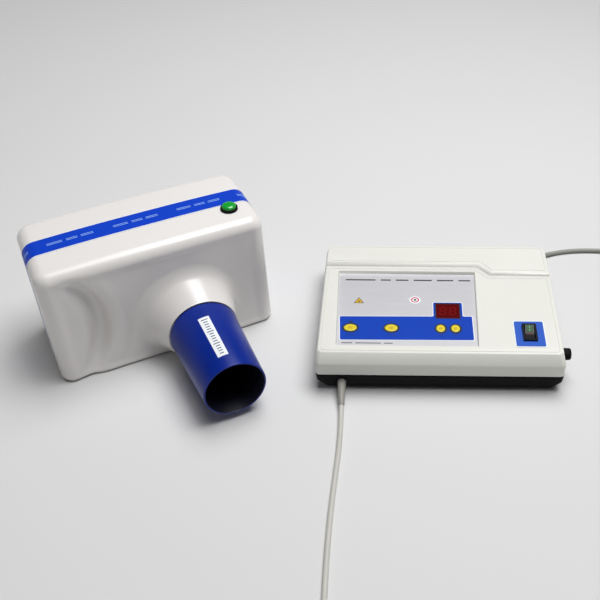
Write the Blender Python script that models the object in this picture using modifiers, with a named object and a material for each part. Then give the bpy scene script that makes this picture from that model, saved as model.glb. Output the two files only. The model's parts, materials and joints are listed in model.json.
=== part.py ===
"""Intraoral x-ray unit: a hand-held tube head beside its table-top control box, with both leads.

Frame: metres, +Z up, origin at the centre of the tube head's flat underside on the table.
+X runs along the row of the two housings, from the tube head to the control box.
"""

import math

import bmesh
import bpy
from mathutils import Vector

# Places of the two housings
HEAD_YAW = math.radians(28.2)
BOX_PLACE = (0.3089, -0.1053, 0.0)

# Control box, driving sizes (x from its middle, y back from its front, z up)
BOX_WIDTH = 0.250
BOX_DEPTH = 0.196
TOP_WIDTH = 0.2425
TOP_FRONT = 0.0115
TOP_BACK = 0.1845
SEAM_Z = 0.022
CREASE_Z = 0.037
TOP_Z = 0.0485
COVER_WALL = 0.0028
BASE_WALL = 0.0023
FOOT_HEIGHT = 0.003
FRONT_CORNER = 0.005
BACK_CORNER = 0.009
GAP = 0.0003
BASE_BOTTOM = FOOT_HEIGHT + GAP
BASE_FLOOR = BASE_BOTTOM + BASE_WALL
PILLARS = [(x, y) for x in (-0.1085, 0.1085) for y in (0.046, 0.160)]
PILLAR_RADIUS = 0.0042
SCREW_HOLE = 0.0018
FEET = {
    "foot_front_left": (-0.1070, 0.0150),
    "foot_front_right": (0.1070, 0.0150),
    "foot_back_left": (-0.1070, 0.1800),
    "foot_back_right": (0.1070, 0.1800),
}
GROOVE_PATH = ((-0.140, 0.1500), (0.0450, 0.1500), (0.0580, 0.1354), (0.140, 0.1354))
GROOVE_HALF = 0.0058
GROOVE_DEPTH = 0.0020

# Recessed control panel
PANEL_DEPTH = 0.0035
PANEL_SHEET = 0.0005
PANEL_FLOOR = 0.0020
PANEL_OUTLINE = ((-0.1050, 0.0175), (0.0388, 0.0175), (0.0412, 0.1385), (-0.1092, 0.1385))
PANEL_Z = TOP_Z - PANEL_DEPTH
KEY_ROW_Y = 0.0477
KEYS = {
    "key_mode_left": (-0.0921, 0.0067, 0.0054),
    "key_mode_right": (-0.0498, 0.0067, 0.0054),
    "key_time_down": (0.0014, 0.0046, 0.0056),
    "key_time_up": (0.0168, 0.0046, 0.0056),
}
KEY_PROUD = 0.0006
CONTROL_BOARD_Z = 0.0334
POWER_BOARD_Z = 0.0120
BOARD_SHEET = 0.0016
WINDOW_MIDDLE = (0.0096, 0.0755)
WINDOW_SIZE = (0.0250, 0.0235)

# Power rocker, fuse holder and cord exits of the box
ROCKER_PLACE = (0.0918, 0.0372)
ROCKER_PIVOT_Z = 0.0462
ROCKER_TILT = math.radians(12.0)
ROCKER_HOLE = (0.0066, 0.0118)
BEZEL_SIZE = (0.0146, 0.0250)
LABEL_SIZE = (0.0298, 0.0378)
FUSE_PLACE = (0.0270, 0.0300)
FUSE_WALL_X = 0.1246
LEAD_EXIT_X = -0.0995
LEAD_EXIT_Z = 0.0118
MAINS_EXIT_X = 0.1115
MAINS_EXIT_Z = 0.0118
CORD_HOLE = 0.0049

# Tube head, driving sizes (x along it, y back, z up, from the middle of its underside)
HEAD_LENGTH = 0.2265
HEAD_DEPTH = 0.1104
HEAD_HEIGHT = 0.1385
HEAD_ROUND = 0.014
SHELL_WALL = 0.003
PARTING_Y = -0.008
CONE_X = 0.0289
CONE_Z = 0.0397
CONE_RADIUS = 0.0318
CONE_WALL = 0.0020
NECK_END = 0.0867
CONE_END = 0.1779
SPIGOT_RADIUS = 0.0282
SPIGOT_LENGTH = 0.015
FLARE = 0.022
BAND_FRONT = -0.0146
BAND_BACK = 0.0121
BAND_SHEET = 0.0004
BUTTON_PLACE = (0.0893, -0.0229)
BUTTON_HOLE = 0.0073
SOCKET_PLACE = (-0.085, 0.050)
SOCKET_HOLE = 0.0073
TANK_LOW = (-0.060, -0.038, 0.010)
TANK_HIGH = (0.086, 0.040, 0.108)
TANK_WALL = 0.0025
HEAD_SCREWS = ((-0.095, 0.018), (0.096, 0.018), (-0.095, 0.121), (0.066, 0.122))
BOSS_RADIUS = 0.0044
SCREW_SEAT_Y = 0.0450
TARGET_SLANT = math.radians(20)

# Leads
CORD = 0.005
COIL_MIDDLE = 0.0275
COIL_WIDTH = 0.0204
COIL_HEIGHT = 0.0152
LEAD_COIL = (-0.0725, -0.3050)
MAINS_COIL = (0.2550, 0.2140)
PLUG_REACH = 0.0288
LEAD_PLUG_Z = 0.0073
MAINS_PLUG_Z = 0.0067
PIN_OFFSET = 0.0095
LEAD_RELIEF = (
    (-0.0995, 0.0040, 0.0118),
    (-0.0993, -0.0060, 0.0108),
    (-0.0990, -0.0160, 0.0084),
    (-0.0986, -0.0260, 0.0058),
)
LEAD_ROUTE = (
    (-0.0986, -0.0263, 0.0057),
    (-0.0983, -0.0360, 0.0040),
    (-0.0980, -0.0480, 0.0030),
    (-0.0979, -0.0620, 0.0027),
    (-0.0980, -0.0760, 0.0027),
    (-0.0984, -0.0910, 0.0027),
    (-0.0993, -0.1100, 0.0027),
    (-0.1004, -0.1350, 0.0027),
    (-0.1012, -0.1650, 0.0027),
    (-0.1014, -0.2000, 0.0027),
    (-0.1008, -0.2350, 0.0027),
    (-0.1002, -0.2600, 0.0027),
    (-0.1000, -0.2765, 0.0027),
)
MAINS_RELIEF = (
    (0.1115, 0.1920, 0.0118),
    (0.1117, 0.2000, 0.0114),
    (0.1132, 0.2085, 0.0102),
    (0.1170, 0.2165, 0.0082),
)
MAINS_ROUTE = (
    (0.1174, 0.2172, 0.0080),
    (0.1240, 0.2245, 0.0056),
    (0.1325, 0.2305, 0.0036),
    (0.1420, 0.2350, 0.0028),
    (0.1540, 0.2388, 0.0027),
    (0.1666, 0.2412, 0.0027),
    (0.1864, 0.2427, 0.0027),
    (0.2034, 0.2422, 0.0027),
    (0.2160, 0.2417, 0.0027),
    (0.2267, 0.2415, 0.0027),
)

ROUND = 32
SMALL_ROUND = 14

UP = (0.0, 0.0, 0.0)
TOWARDS_FRONT = (math.radians(90), 0.0, 0.0)
TOWARDS_BACK = (math.radians(-90), 0.0, 0.0)
TOWARDS_RIGHT = (0.0, math.radians(90), 0.0)
UPRIGHT_ACROSS = (math.radians(90), 0.0, math.radians(90))


def clear_scene():
    for item in list(bpy.data.objects):
        bpy.data.objects.remove(item, do_unlink=True)


def make_collection(name, hidden):
    collection = bpy.data.collections.new(name)
    bpy.context.scene.collection.children.link(collection)
    collection.hide_render = hidden
    return collection


def make_frame(name, place, yaw):
    frame = bpy.data.objects.new(name, None)
    frame.location = place
    frame.rotation_euler = (0.0, 0.0, yaw)
    PARTS.objects.link(frame)
    return frame


def make_material(name, colour, roughness, metallic=0.0):
    material = bpy.data.materials.new(name)
    material.use_nodes = True
    shader = material.node_tree.nodes["Principled BSDF"]
    shader.inputs["Base Color"].default_value = (*colour, 1.0)
    shader.inputs["Roughness"].default_value = roughness
    shader.inputs["Metallic"].default_value = metallic
    return material


def put(item, frame, material, place=(0, 0, 0), turn=UP):
    """Places an object as a part, or as a hidden cutter when it has no material."""
    item.parent = frame
    item.location = place
    item.rotation_euler = turn
    if material is None:
        CUTTERS.objects.link(item)
        item.hide_render = True
        item.display_type = "WIRE"
    else:
        PARTS.objects.link(item)
        item.data.materials.append(material)
    return item


def mesh_object(name, shape):
    bmesh.ops.recalc_face_normals(shape, faces=shape.faces)
    mesh = bpy.data.meshes.new(name)
    shape.to_mesh(mesh)
    shape.free()
    mesh.shade_smooth()
    mesh.set_sharp_from_angle(angle=math.radians(35))
    return bpy.data.objects.new(name, mesh)


def add_box(shape, low, high):
    made = bmesh.ops.create_cube(shape, size=1.0)
    for vertex in made["verts"]:
        vertex.co = Vector([
            (low[axis] + high[axis]) / 2 + vertex.co[axis] * (high[axis] - low[axis])
            for axis in range(3)
        ])


def box(name, frame, material, low, high, rounding=0.0, segments=2):
    shape = bmesh.new()
    add_box(shape, low, high)
    item = put(mesh_object(name, shape), frame, material)
    if rounding:
        bevel = item.modifiers.new("rounding", "BEVEL")
        bevel.width = rounding
        bevel.segments = segments
    return item


def rod(name, frame, material, place, turn, radius, length, sides=SMALL_ROUND, end_radius=None):
    """A round bar that starts at place and runs along its own Z."""
    shape = bmesh.new()
    made = bmesh.ops.create_cone(
        shape, cap_ends=True, segments=sides, depth=length,
        radius1=radius, radius2=radius if end_radius is None else end_radius,
    )
    bmesh.ops.translate(shape, verts=made["verts"], vec=(0, 0, length / 2))
    return put(mesh_object(name, shape), frame, material, place, turn)


def turned(name, frame, material, profile, place=(0, 0, 0), turn=UP, sides=ROUND, ring=False):
    """A turned piece: profile points (radius, height) run down its outer side."""
    mesh = bpy.data.meshes.new(name)
    edges = [(index, index + 1) for index in range(len(profile) - 1)]
    if ring:
        edges.append((len(profile) - 1, 0))
    mesh.from_pydata([(radius, 0.0, height) for radius, height in profile], edges, [])
    item = put(bpy.data.objects.new(name, mesh), frame, material, place, turn)
    screw = item.modifiers.new("turn", "SCREW")
    screw.steps = sides
    screw.render_steps = sides
    screw.use_merge_vertices = True
    screw.merge_threshold = 0.00001
    screw.use_smooth_shade = True
    return item


def rounded_ring(half_width, front, back, height, front_corner, back_corner, steps=3):
    """Points around a rectangle with rounded corners, seen from above, at one height."""
    corners = (
        (half_width - front_corner, front + front_corner, front_corner, -90),
        (half_width - back_corner, back - back_corner, back_corner, 0),
        (-half_width + back_corner, back - back_corner, back_corner, 90),
        (-half_width + front_corner, front + front_corner, front_corner, 180),
    )
    points = []
    for x, y, radius, start in corners:
        for step in range(steps + 1):
            angle = math.radians(start + 90 * step / steps)
            points.append((x + radius * math.cos(angle), y + radius * math.sin(angle), height))
    return points


def loft(name, frame, material, rings):
    """A body through a row of unlike sections, closed by a face at each end."""
    shape = bmesh.new()
    rows = [[shape.verts.new(point) for point in ring] for ring in rings]
    count = len(rings[0])
    for low, high in zip(rows, rows[1:]):
        for index in range(count):
            after = (index + 1) % count
            shape.faces.new((low[index], low[after], high[after], high[index]))
    shape.faces.new(rows[0])
    shape.faces.new(rows[-1])
    return put(mesh_object(name, shape), frame, material)


def outline_plate(name, frame, material, points, thickness, place=(0, 0, 0), turn=UP):
    """A flat outline given its thickness, half to each side of its own XY plane."""
    curve = bpy.data.curves.new(name, "CURVE")
    curve.dimensions = "2D"
    curve.fill_mode = "BOTH"
    curve.extrude = thickness / 2
    spline = curve.splines.new("POLY")
    spline.points.add(len(points) - 1)
    spline.use_cyclic_u = True
    for point, (x, y) in zip(spline.points, points):
        point.co = (x, y, 0.0, 1.0)
    drawn = bpy.data.objects.new(name + "_outline", curve)
    bpy.context.scene.collection.objects.link(drawn)
    graph = bpy.context.evaluated_depsgraph_get()
    mesh = bpy.data.meshes.new_from_object(drawn.evaluated_get(graph))
    bpy.data.objects.remove(drawn)
    bpy.data.curves.remove(curve)
    shape = bmesh.new()
    shape.from_mesh(mesh)
    bpy.data.meshes.remove(mesh)
    bmesh.ops.remove_doubles(shape, verts=shape.verts, dist=0.000001)
    return put(mesh_object(name, shape), frame, material, place, turn)


def smooth_points(route, spacing):
    """Points along a smooth curve through the route's own points."""
    knots = [Vector(point) for point in route]
    knots = [2 * knots[0] - knots[1], *knots, 2 * knots[-1] - knots[-2]]
    points = []
    for before, start, end, after in zip(knots, knots[1:], knots[2:], knots[3:]):
        count = max(1, round((end - start).length / spacing))
        for step in range(count):
            t = step / count
            points.append(0.5 * (
                2 * start + (end - before) * t
                + (2 * before - 5 * start + 4 * end - after) * t * t
                + (3 * start - before - 3 * end + after) * t ** 3
            ))
    return [*points, knots[-2]]


def tube(name, frame, material, points, radii, resolution=2):
    curve = bpy.data.curves.new(name, "CURVE")
    curve.dimensions = "3D"
    curve.bevel_depth = 1.0
    curve.bevel_resolution = resolution
    curve.use_fill_caps = True
    spline = curve.splines.new("POLY")
    spline.points.add(len(points) - 1)
    for point, place, radius in zip(spline.points, points, radii):
        point.co = (*place, 1.0)
        point.radius = radius
    item = bpy.data.objects.new(name, curve)
    return put(item, frame, material)


def combine(item, tool, operation="DIFFERENCE"):
    modifier = item.modifiers.new(tool.name, "BOOLEAN")
    modifier.operation = operation
    modifier.solver = "EXACT"
    modifier.object = tool
    return item


def cover_rings(inset, low, high):
    """The tapered sections of the box's cover, drawn in by a wall and cut off at low and high."""
    rings = []
    for z, half_width, front, back in (
        (SEAM_Z, BOX_WIDTH / 2, 0.0, BOX_DEPTH),
        (CREASE_Z, BOX_WIDTH / 2 - 0.001, 0.001, BOX_DEPTH - 0.001),
        (TOP_Z, TOP_WIDTH / 2, TOP_FRONT, TOP_BACK),
    ):
        rings.append(rounded_ring(
            half_width - inset, front + inset, back - inset, min(max(z, low), high),
            FRONT_CORNER - inset / 2, BACK_CORNER - inset / 2,
        ))
    return rings


def build_base(frame, looks):
    """The black pan. Its sections give how far each side and each end is drawn in, and the height."""
    top, bend = SEAM_Z - GAP, 0.0125
    outer = [(0.0, 0.0, top), (0.0008, 0.0006, bend), (0.0090, 0.0035, BASE_BOTTOM)]
    inner = [(0.0112, 0.0062, BASE_FLOOR), (0.0035, 0.0033, bend), (0.0027, 0.0027, top)]
    rings = [
        rounded_ring(BOX_WIDTH / 2 - side, end, BOX_DEPTH - end, z, FRONT_CORNER, BACK_CORNER)
        for side, end, z in inner + outer
    ]
    base = loft("base_pan", frame, looks["black_plastic"], rings)
    for number, (x, y) in enumerate(PILLARS):
        hole = rod(f"cut_base_screw_{number}", frame, None, (x, y, 0.0), UP, 0.0021, 0.012)
        combine(base, hole)
    posts = [(x, y, POWER_BOARD_Z) for x in (-0.085, 0.040) for y in (0.126, 0.175)]
    posts += [(x, y, CONTROL_BOARD_Z) for x in (-0.097, 0.039) for y in (0.031, 0.107)]
    for number, (x, y, board_low) in enumerate(posts):
        low = BASE_FLOOR - 0.0010
        post = rod(f"add_post_{number}", frame, None, (x, y, low), UP, 0.0030,
                   board_low - GAP - low, 10)
        combine(base, post, "UNION")
    for name, x, y, turn in (
        ("cut_lead_exit", LEAD_EXIT_X, 0.012, TOWARDS_FRONT),
        ("cut_mains_exit", MAINS_EXIT_X, BOX_DEPTH - 0.012, TOWARDS_BACK),
    ):
        combine(base, rod(name, frame, None, (x, y, LEAD_EXIT_Z), turn, CORD_HOLE, 0.024, 16))
    for name, (x, y) in FEET.items():
        profile = ((0.0, FOOT_HEIGHT), (0.0062, FOOT_HEIGHT), (0.0054, 0.0), (0.0, 0.0))
        turned(name, frame, looks["rubber"], profile, (x, y, 0.0), UP, 18)
    for number, (x, y) in enumerate(PILLARS, 1):
        turned(f"base_screw_{number}", frame, looks["steel"], (
            (0.0, 0.0180), (0.0014, 0.0180), (0.0014, 0.0030), (0.0033, 0.0030),
            (0.0033, 0.0018), (0.0026, 0.0012), (0.0, 0.0012),
        ), (x, y, 0.0), UP, 12)


def groove_cutter(frame):
    """The V-shaped valley between the rear strip and the front plate, stepped forward at the right."""
    above = 0.0010
    reach = GROOVE_HALF * (1 + above / GROOVE_DEPTH)
    rings = []
    for index, (x, y) in enumerate(GROOVE_PATH):
        before = Vector(GROOVE_PATH[max(index - 1, 0)])
        after = Vector(GROOVE_PATH[min(index + 1, len(GROOVE_PATH) - 1)])
        here = Vector((x, y))
        ways = [way.normalized() for way in (here - before, after - here) if way.length]
        way = sum(ways, Vector((0, 0))).normalized()
        across = Vector((-way.y, way.x))
        stretch = 1 / max(across.dot(Vector((-ways[0].y, ways[0].x))), 0.5)
        rings.append([
            (*(here - across * reach * stretch), TOP_Z + above),
            (*here, TOP_Z - GROOVE_DEPTH),
            (*(here + across * reach * stretch), TOP_Z + above),
        ])
    return loft("cut_groove", frame, None, rings)


def key_hole(name, frame, x, half_x, half_y, growth, low, high):
    profile = ((0.0, high), (half_y + growth, high), (half_y + growth, low), (0.0, low))
    hole = turned(name, frame, None, profile, (x, KEY_ROW_Y, 0.0), UP, 24)
    hole.scale.x = (half_x + growth) / (half_y + growth)
    return hole


def build_cover(frame, looks):
    inner = cover_rings(COVER_WALL, SEAM_Z, TOP_Z - COVER_WALL)
    outer = cover_rings(0.0, SEAM_Z, TOP_Z)
    cover = loft("top_cover", frame, looks["ivory_plastic"], [*reversed(inner), *outer])
    (left, front), (right, _), (_, back), _ = PANEL_OUTLINE
    pan_top = TOP_Z - COVER_WALL + 0.0006
    pan_low = PANEL_Z - PANEL_SHEET - GAP - PANEL_FLOOR
    combine(cover, box("add_panel_pan", frame, None, (left - 0.0070, front - 0.0025, pan_low),
                       (right + 0.0060, back + 0.0025, pan_top)), "UNION")
    for number, (x, y) in enumerate(PILLARS):
        low = BASE_FLOOR + GAP
        pillar = rod(f"add_pillar_{number}", frame, None, (x, y, low), UP, PILLAR_RADIUS,
                     pan_top - low)
        combine(cover, pillar, "UNION")
        hole = rod(f"cut_pillar_{number}", frame, None, (x, y, low - 0.001), UP, SCREW_HOLE, 0.0150)
        combine(cover, hole)
    cut_middle = (TOP_Z + PANEL_Z - PANEL_SHEET - GAP + 0.001) / 2
    cut_height = TOP_Z - PANEL_Z + PANEL_SHEET + GAP + 0.001
    combine(cover, outline_plate("cut_panel_recess", frame, None, PANEL_OUTLINE, cut_height,
                                 (0, 0, cut_middle)))
    combine(cover, groove_cutter(frame))
    for name, (x, half_x, half_y) in KEYS.items():
        hole = key_hole(f"cut_cover_{name}", frame, x, half_x, half_y, GAP, 0.0400, 0.0470)
        combine(cover, hole)
    x, y = WINDOW_MIDDLE
    width, depth = WINDOW_SIZE
    combine(cover, box("cut_cover_window", frame, None, (x - width / 2, y - depth / 2, 0.0400),
                       (x + width / 2, y + depth / 2, 0.0470)))
    x, y = ROCKER_PLACE
    half_x, half_y = ROCKER_HOLE
    combine(cover, box("cut_cover_rocker", frame, None, (x - half_x, y - half_y, 0.0400),
                       (x + half_x, y + half_y, 0.0520)))
    y, z = FUSE_PLACE
    combine(cover, rod("cut_cover_fuse", frame, None, (0.110, y, z), TOWARDS_RIGHT, 0.0059, 0.030, 20))
    return cover


def build_panel(frame, looks):
    inset = [
        (x + (GAP if x < 0 else -GAP), y + (GAP if y < 0.08 else -GAP)) for x, y in PANEL_OUTLINE
    ]
    sheet = outline_plate("panel_overlay", frame, looks["silver_film"], inset, PANEL_SHEET,
                          (0, 0, PANEL_Z - PANEL_SHEET / 2))
    for name, (x, half_x, half_y) in KEYS.items():
        combine(sheet, key_hole(f"cut_sheet_{name}", frame, x, half_x, half_y, GAP, 0.0430, 0.0470))
    x, y = WINDOW_MIDDLE
    width, depth = WINDOW_SIZE
    combine(sheet, box("cut_sheet_window", frame, None, (x - width / 2, y - depth / 2, 0.0430),
                       (x + width / 2, y + depth / 2, 0.0470)))
    box("display_window", frame, looks["red_filter"],
        (x - width / 2 + GAP, y - depth / 2 + GAP, 0.0428),
        (x + width / 2 - GAP, y + depth / 2 - GAP, PANEL_Z - 0.0001))
    cap_top = PANEL_Z + KEY_PROUD
    for name, (x, half_x, half_y) in KEYS.items():
        cap = turned(name, frame, looks["key_yellow"], (
            (0.0, cap_top), (half_y * 0.86, cap_top - 0.0001), (half_y, cap_top - 0.0005),
            (half_y, 0.0416), (half_y + 0.0008, 0.0414), (half_y + 0.0008, 0.0404),
            (0.0020, 0.0402), (0.0020, 0.0400), (0.0, 0.0400),
        ), (x, KEY_ROW_Y, 0.0), UP, 24)
        cap.scale.x = half_x / half_y


def build_electronics(frame, looks):
    board_top = CONTROL_BOARD_Z + BOARD_SHEET
    board = box("control_board", frame, looks["circuit_board"],
                (-0.1020, 0.0260, CONTROL_BOARD_Z), (0.0440, 0.1120, board_top))
    for name, (x, _, _) in KEYS.items():
        switch = turned(f"add_switch_{name}", frame, None, (
            (0.0, 0.0394), (0.0017, 0.0394), (0.0017, 0.0386), (0.0040, 0.0386),
            (0.0040, board_top - 0.0008), (0.0, board_top - 0.0008),
        ), (x, KEY_ROW_Y, 0.0), UP, 12)
        combine(board, switch, "UNION")
    width, depth = WINDOW_SIZE
    x, y = WINDOW_MIDDLE
    box("display_module", frame, looks["dark_plastic"],
        (x - width / 2 + 0.001, y - depth / 2 + 0.001, board_top + GAP),
        (x + width / 2 - 0.001, y + depth / 2 - 0.001, 0.0422))
    floor = BASE_FLOOR + GAP
    core = box("transformer_core", frame, looks["iron"],
               (0.0560, 0.1010, floor), (0.1000, 0.1230, floor + 0.0350))
    for side, low in (("left", 0.0630), ("right", 0.0850)):
        combine(core, box(f"cut_core_{side}", frame, None,
                          (low, 0.0950, floor + 0.0070), (low + 0.0080, 0.1290, floor + 0.0280)))
    coil = box("transformer_coil", frame, looks["copper"],
               (0.0634, 0.0940, floor + 0.0074), (0.0926, 0.1300, floor + 0.0276), 0.0020, 2)
    combine(coil, box("cut_coil_core", frame, None,
                      (0.0707, 0.1004, floor - 0.001), (0.0853, 0.1236, floor + 0.0400)))
    board = box("power_board", frame, looks["circuit_board"],
                (-0.0900, 0.1210, POWER_BOARD_Z), (0.0450, 0.1800, POWER_BOARD_Z + BOARD_SHEET))
    relay_low = POWER_BOARD_Z + 0.0008
    for name, low, high in (
        ("relay", (-0.0500, 0.1500, relay_low), (-0.0210, 0.1630, 0.0299)),
        ("heat_sink", (-0.0700, 0.1280, relay_low), (-0.0660, 0.1700, 0.0380)),
        ("terminals", (-0.0050, 0.1660, relay_low), (0.0300, 0.1760, 0.0240)),
    ):
        combine(board, box(f"add_{name}", frame, None, low, high), "UNION")


def build_rocker(frame, looks):
    x, y = ROCKER_PLACE
    half_x, half_y = LABEL_SIZE[0] / 2, LABEL_SIZE[1] / 2
    hole_x, hole_y = ROCKER_HOLE
    label_low = TOP_Z + GAP
    label = box("switch_label", frame, looks["label_blue"],
                (x - half_x, y - half_y - 0.0009, label_low),
                (x + half_x, y + half_y - 0.0009, label_low + 0.0004))
    combine(label, box("cut_label_rocker", frame, None, (x - hole_x, y - hole_y, label_low - 0.001),
                       (x + hole_x, y + hole_y, label_low + 0.0014)))
    bezel_low = label_low + 0.0004 + GAP
    bezel_top = bezel_low + 0.0020
    housing = box("rocker_housing", frame, looks["dark_plastic"],
                  (x - BEZEL_SIZE[0] / 2, y - BEZEL_SIZE[1] / 2, bezel_low),
                  (x + BEZEL_SIZE[0] / 2, y + BEZEL_SIZE[1] / 2, bezel_top), 0.0005, 1)
    combine(housing, box("add_rocker_body", frame, None,
                         (x - hole_x + GAP, y - hole_y + GAP, 0.0260),
                         (x + hole_x - GAP, y + hole_y - GAP, bezel_low + 0.0005)), "UNION")
    combine(housing, box("cut_rocker_well", frame, None, (x - 0.0052, y - 0.0108, 0.0340),
                         (x + 0.0052, y + 0.0108, bezel_top + 0.001)))
    outline = (
        (-0.0093, -0.0010), (-0.0050, -0.0062), (0.0050, -0.0062), (0.0093, -0.0010),
        (0.0096, 0.0058), (0.0, 0.0040), (-0.0096, 0.0058),
    )
    cosine, sine = math.cos(ROCKER_TILT), math.sin(ROCKER_TILT)
    tilted = [(u * cosine - w * sine, u * sine + w * cosine) for u, w in outline]
    outline_plate("power_rocker", frame, looks["dark_plastic"], tilted, 0.0097,
                  (x, y, ROCKER_PIVOT_Z), UPRIGHT_ACROSS)


def build_fuse(frame, looks):
    y, z = FUSE_PLACE
    turned("fuse_holder", frame, looks["dark_plastic"], (
        (0.0072, 0.0013), (0.0072, 0.0006), (0.0055, 0.0006), (0.0055, -0.0245),
        (0.0020, -0.0245), (0.0020, -0.0230), (0.0042, -0.0230), (0.0042, 0.0013),
    ), (FUSE_WALL_X, y, z), TOWARDS_RIGHT, 24, ring=True)
    turned("fuse_cap", frame, looks["black_plastic"], (
        (0.0, 0.0102), (0.0046, 0.0100), (0.0060, 0.0088), (0.0062, 0.0016),
        (0.0038, 0.0015), (0.0038, -0.0040), (0.0029, -0.0040), (0.0029, 0.0010), (0.0, 0.0010),
    ), (FUSE_WALL_X, y, z), TOWARDS_RIGHT, 24)
    turned("fuse", frame, looks["glass"], (
        (0.0, 0.0004), (0.0026, 0.0004), (0.0026, -0.0050), (0.0023, -0.0052), (0.0023, -0.0148),
        (0.0026, -0.0150), (0.0026, -0.0196), (0.0, -0.0196),
    ), (FUSE_WALL_X, y, z), TOWARDS_RIGHT, 16)


def tapered(start, end, count):
    return [start + (end - start) * index / (count - 1) for index in range(count)]


def build_leads(frame, looks):
    for name, route in (("tube_lead_relief", LEAD_RELIEF), ("mains_relief", MAINS_RELIEF)):
        points = smooth_points(route, 0.0035)
        radii = tapered(0.0044, 0.0031, len(points))
        tube(name, frame, looks["cord_grey"], points, radii, 3)
    for name, route in (("tube_lead", LEAD_ROUTE), ("mains_lead", MAINS_ROUTE)):
        points = smooth_points(route, 0.0115)
        tube(name, frame, looks["cord_grey"], points, [CORD / 2] * len(points), 2)
    for name, (x, y) in (("tube_lead_coil", LEAD_COIL), ("mains_lead_coil", MAINS_COIL)):
        inner, outer = COIL_MIDDLE - COIL_WIDTH / 2, COIL_MIDDLE + COIL_WIDTH / 2
        turned(name, frame, looks["cord_grey"], (
            (outer - 0.0020, COIL_HEIGHT), (outer, COIL_HEIGHT - 0.0020), (outer, 0.0022),
            (outer - 0.0020, 0.0002), (inner + 0.0020, 0.0002), (inner, 0.0022),
            (inner, COIL_HEIGHT - 0.0020), (inner + 0.0020, COIL_HEIGHT),
        ), (x, y, 0.0), UP, 28, ring=True)
    turned("tube_lead_plug", frame, looks["connector_metal"], (
        (0.0, 0.0440), (0.0058, 0.0440), (0.0058, 0.0300), (0.0072, 0.0298), (0.0072, 0.0185),
        (0.0064, 0.0180), (0.0064, 0.0120), (0.0034, 0.0100), (0.0030, 0.0), (0.0, 0.0),
    ), (LEAD_COIL[0] - COIL_MIDDLE, LEAD_COIL[1] - PLUG_REACH, LEAD_PLUG_Z), TOWARDS_FRONT, 20)
    x, y = MAINS_COIL[0] + PLUG_REACH, MAINS_COIL[1] + COIL_MIDDLE
    plug = box("mains_plug", frame, looks["black_plastic"],
               (x + 0.0120, y - 0.0125, 0.0002), (x + 0.0380, y + 0.0125, 0.0132), 0.0030, 2)
    combine(plug, rod("add_plug_tail", frame, None, (x, y, MAINS_PLUG_Z), TOWARDS_RIGHT,
                      0.0030, 0.0200, 12, 0.0050), "UNION")
    for side, offset in (("near", -PIN_OFFSET), ("far", PIN_OFFSET)):
        pin = rod(f"add_plug_pin_{side}", frame, None, (x + 0.0350, y + offset, MAINS_PLUG_Z),
                  TOWARDS_RIGHT, 0.0020, 0.0220, 10)
        combine(plug, pin, "UNION")


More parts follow.
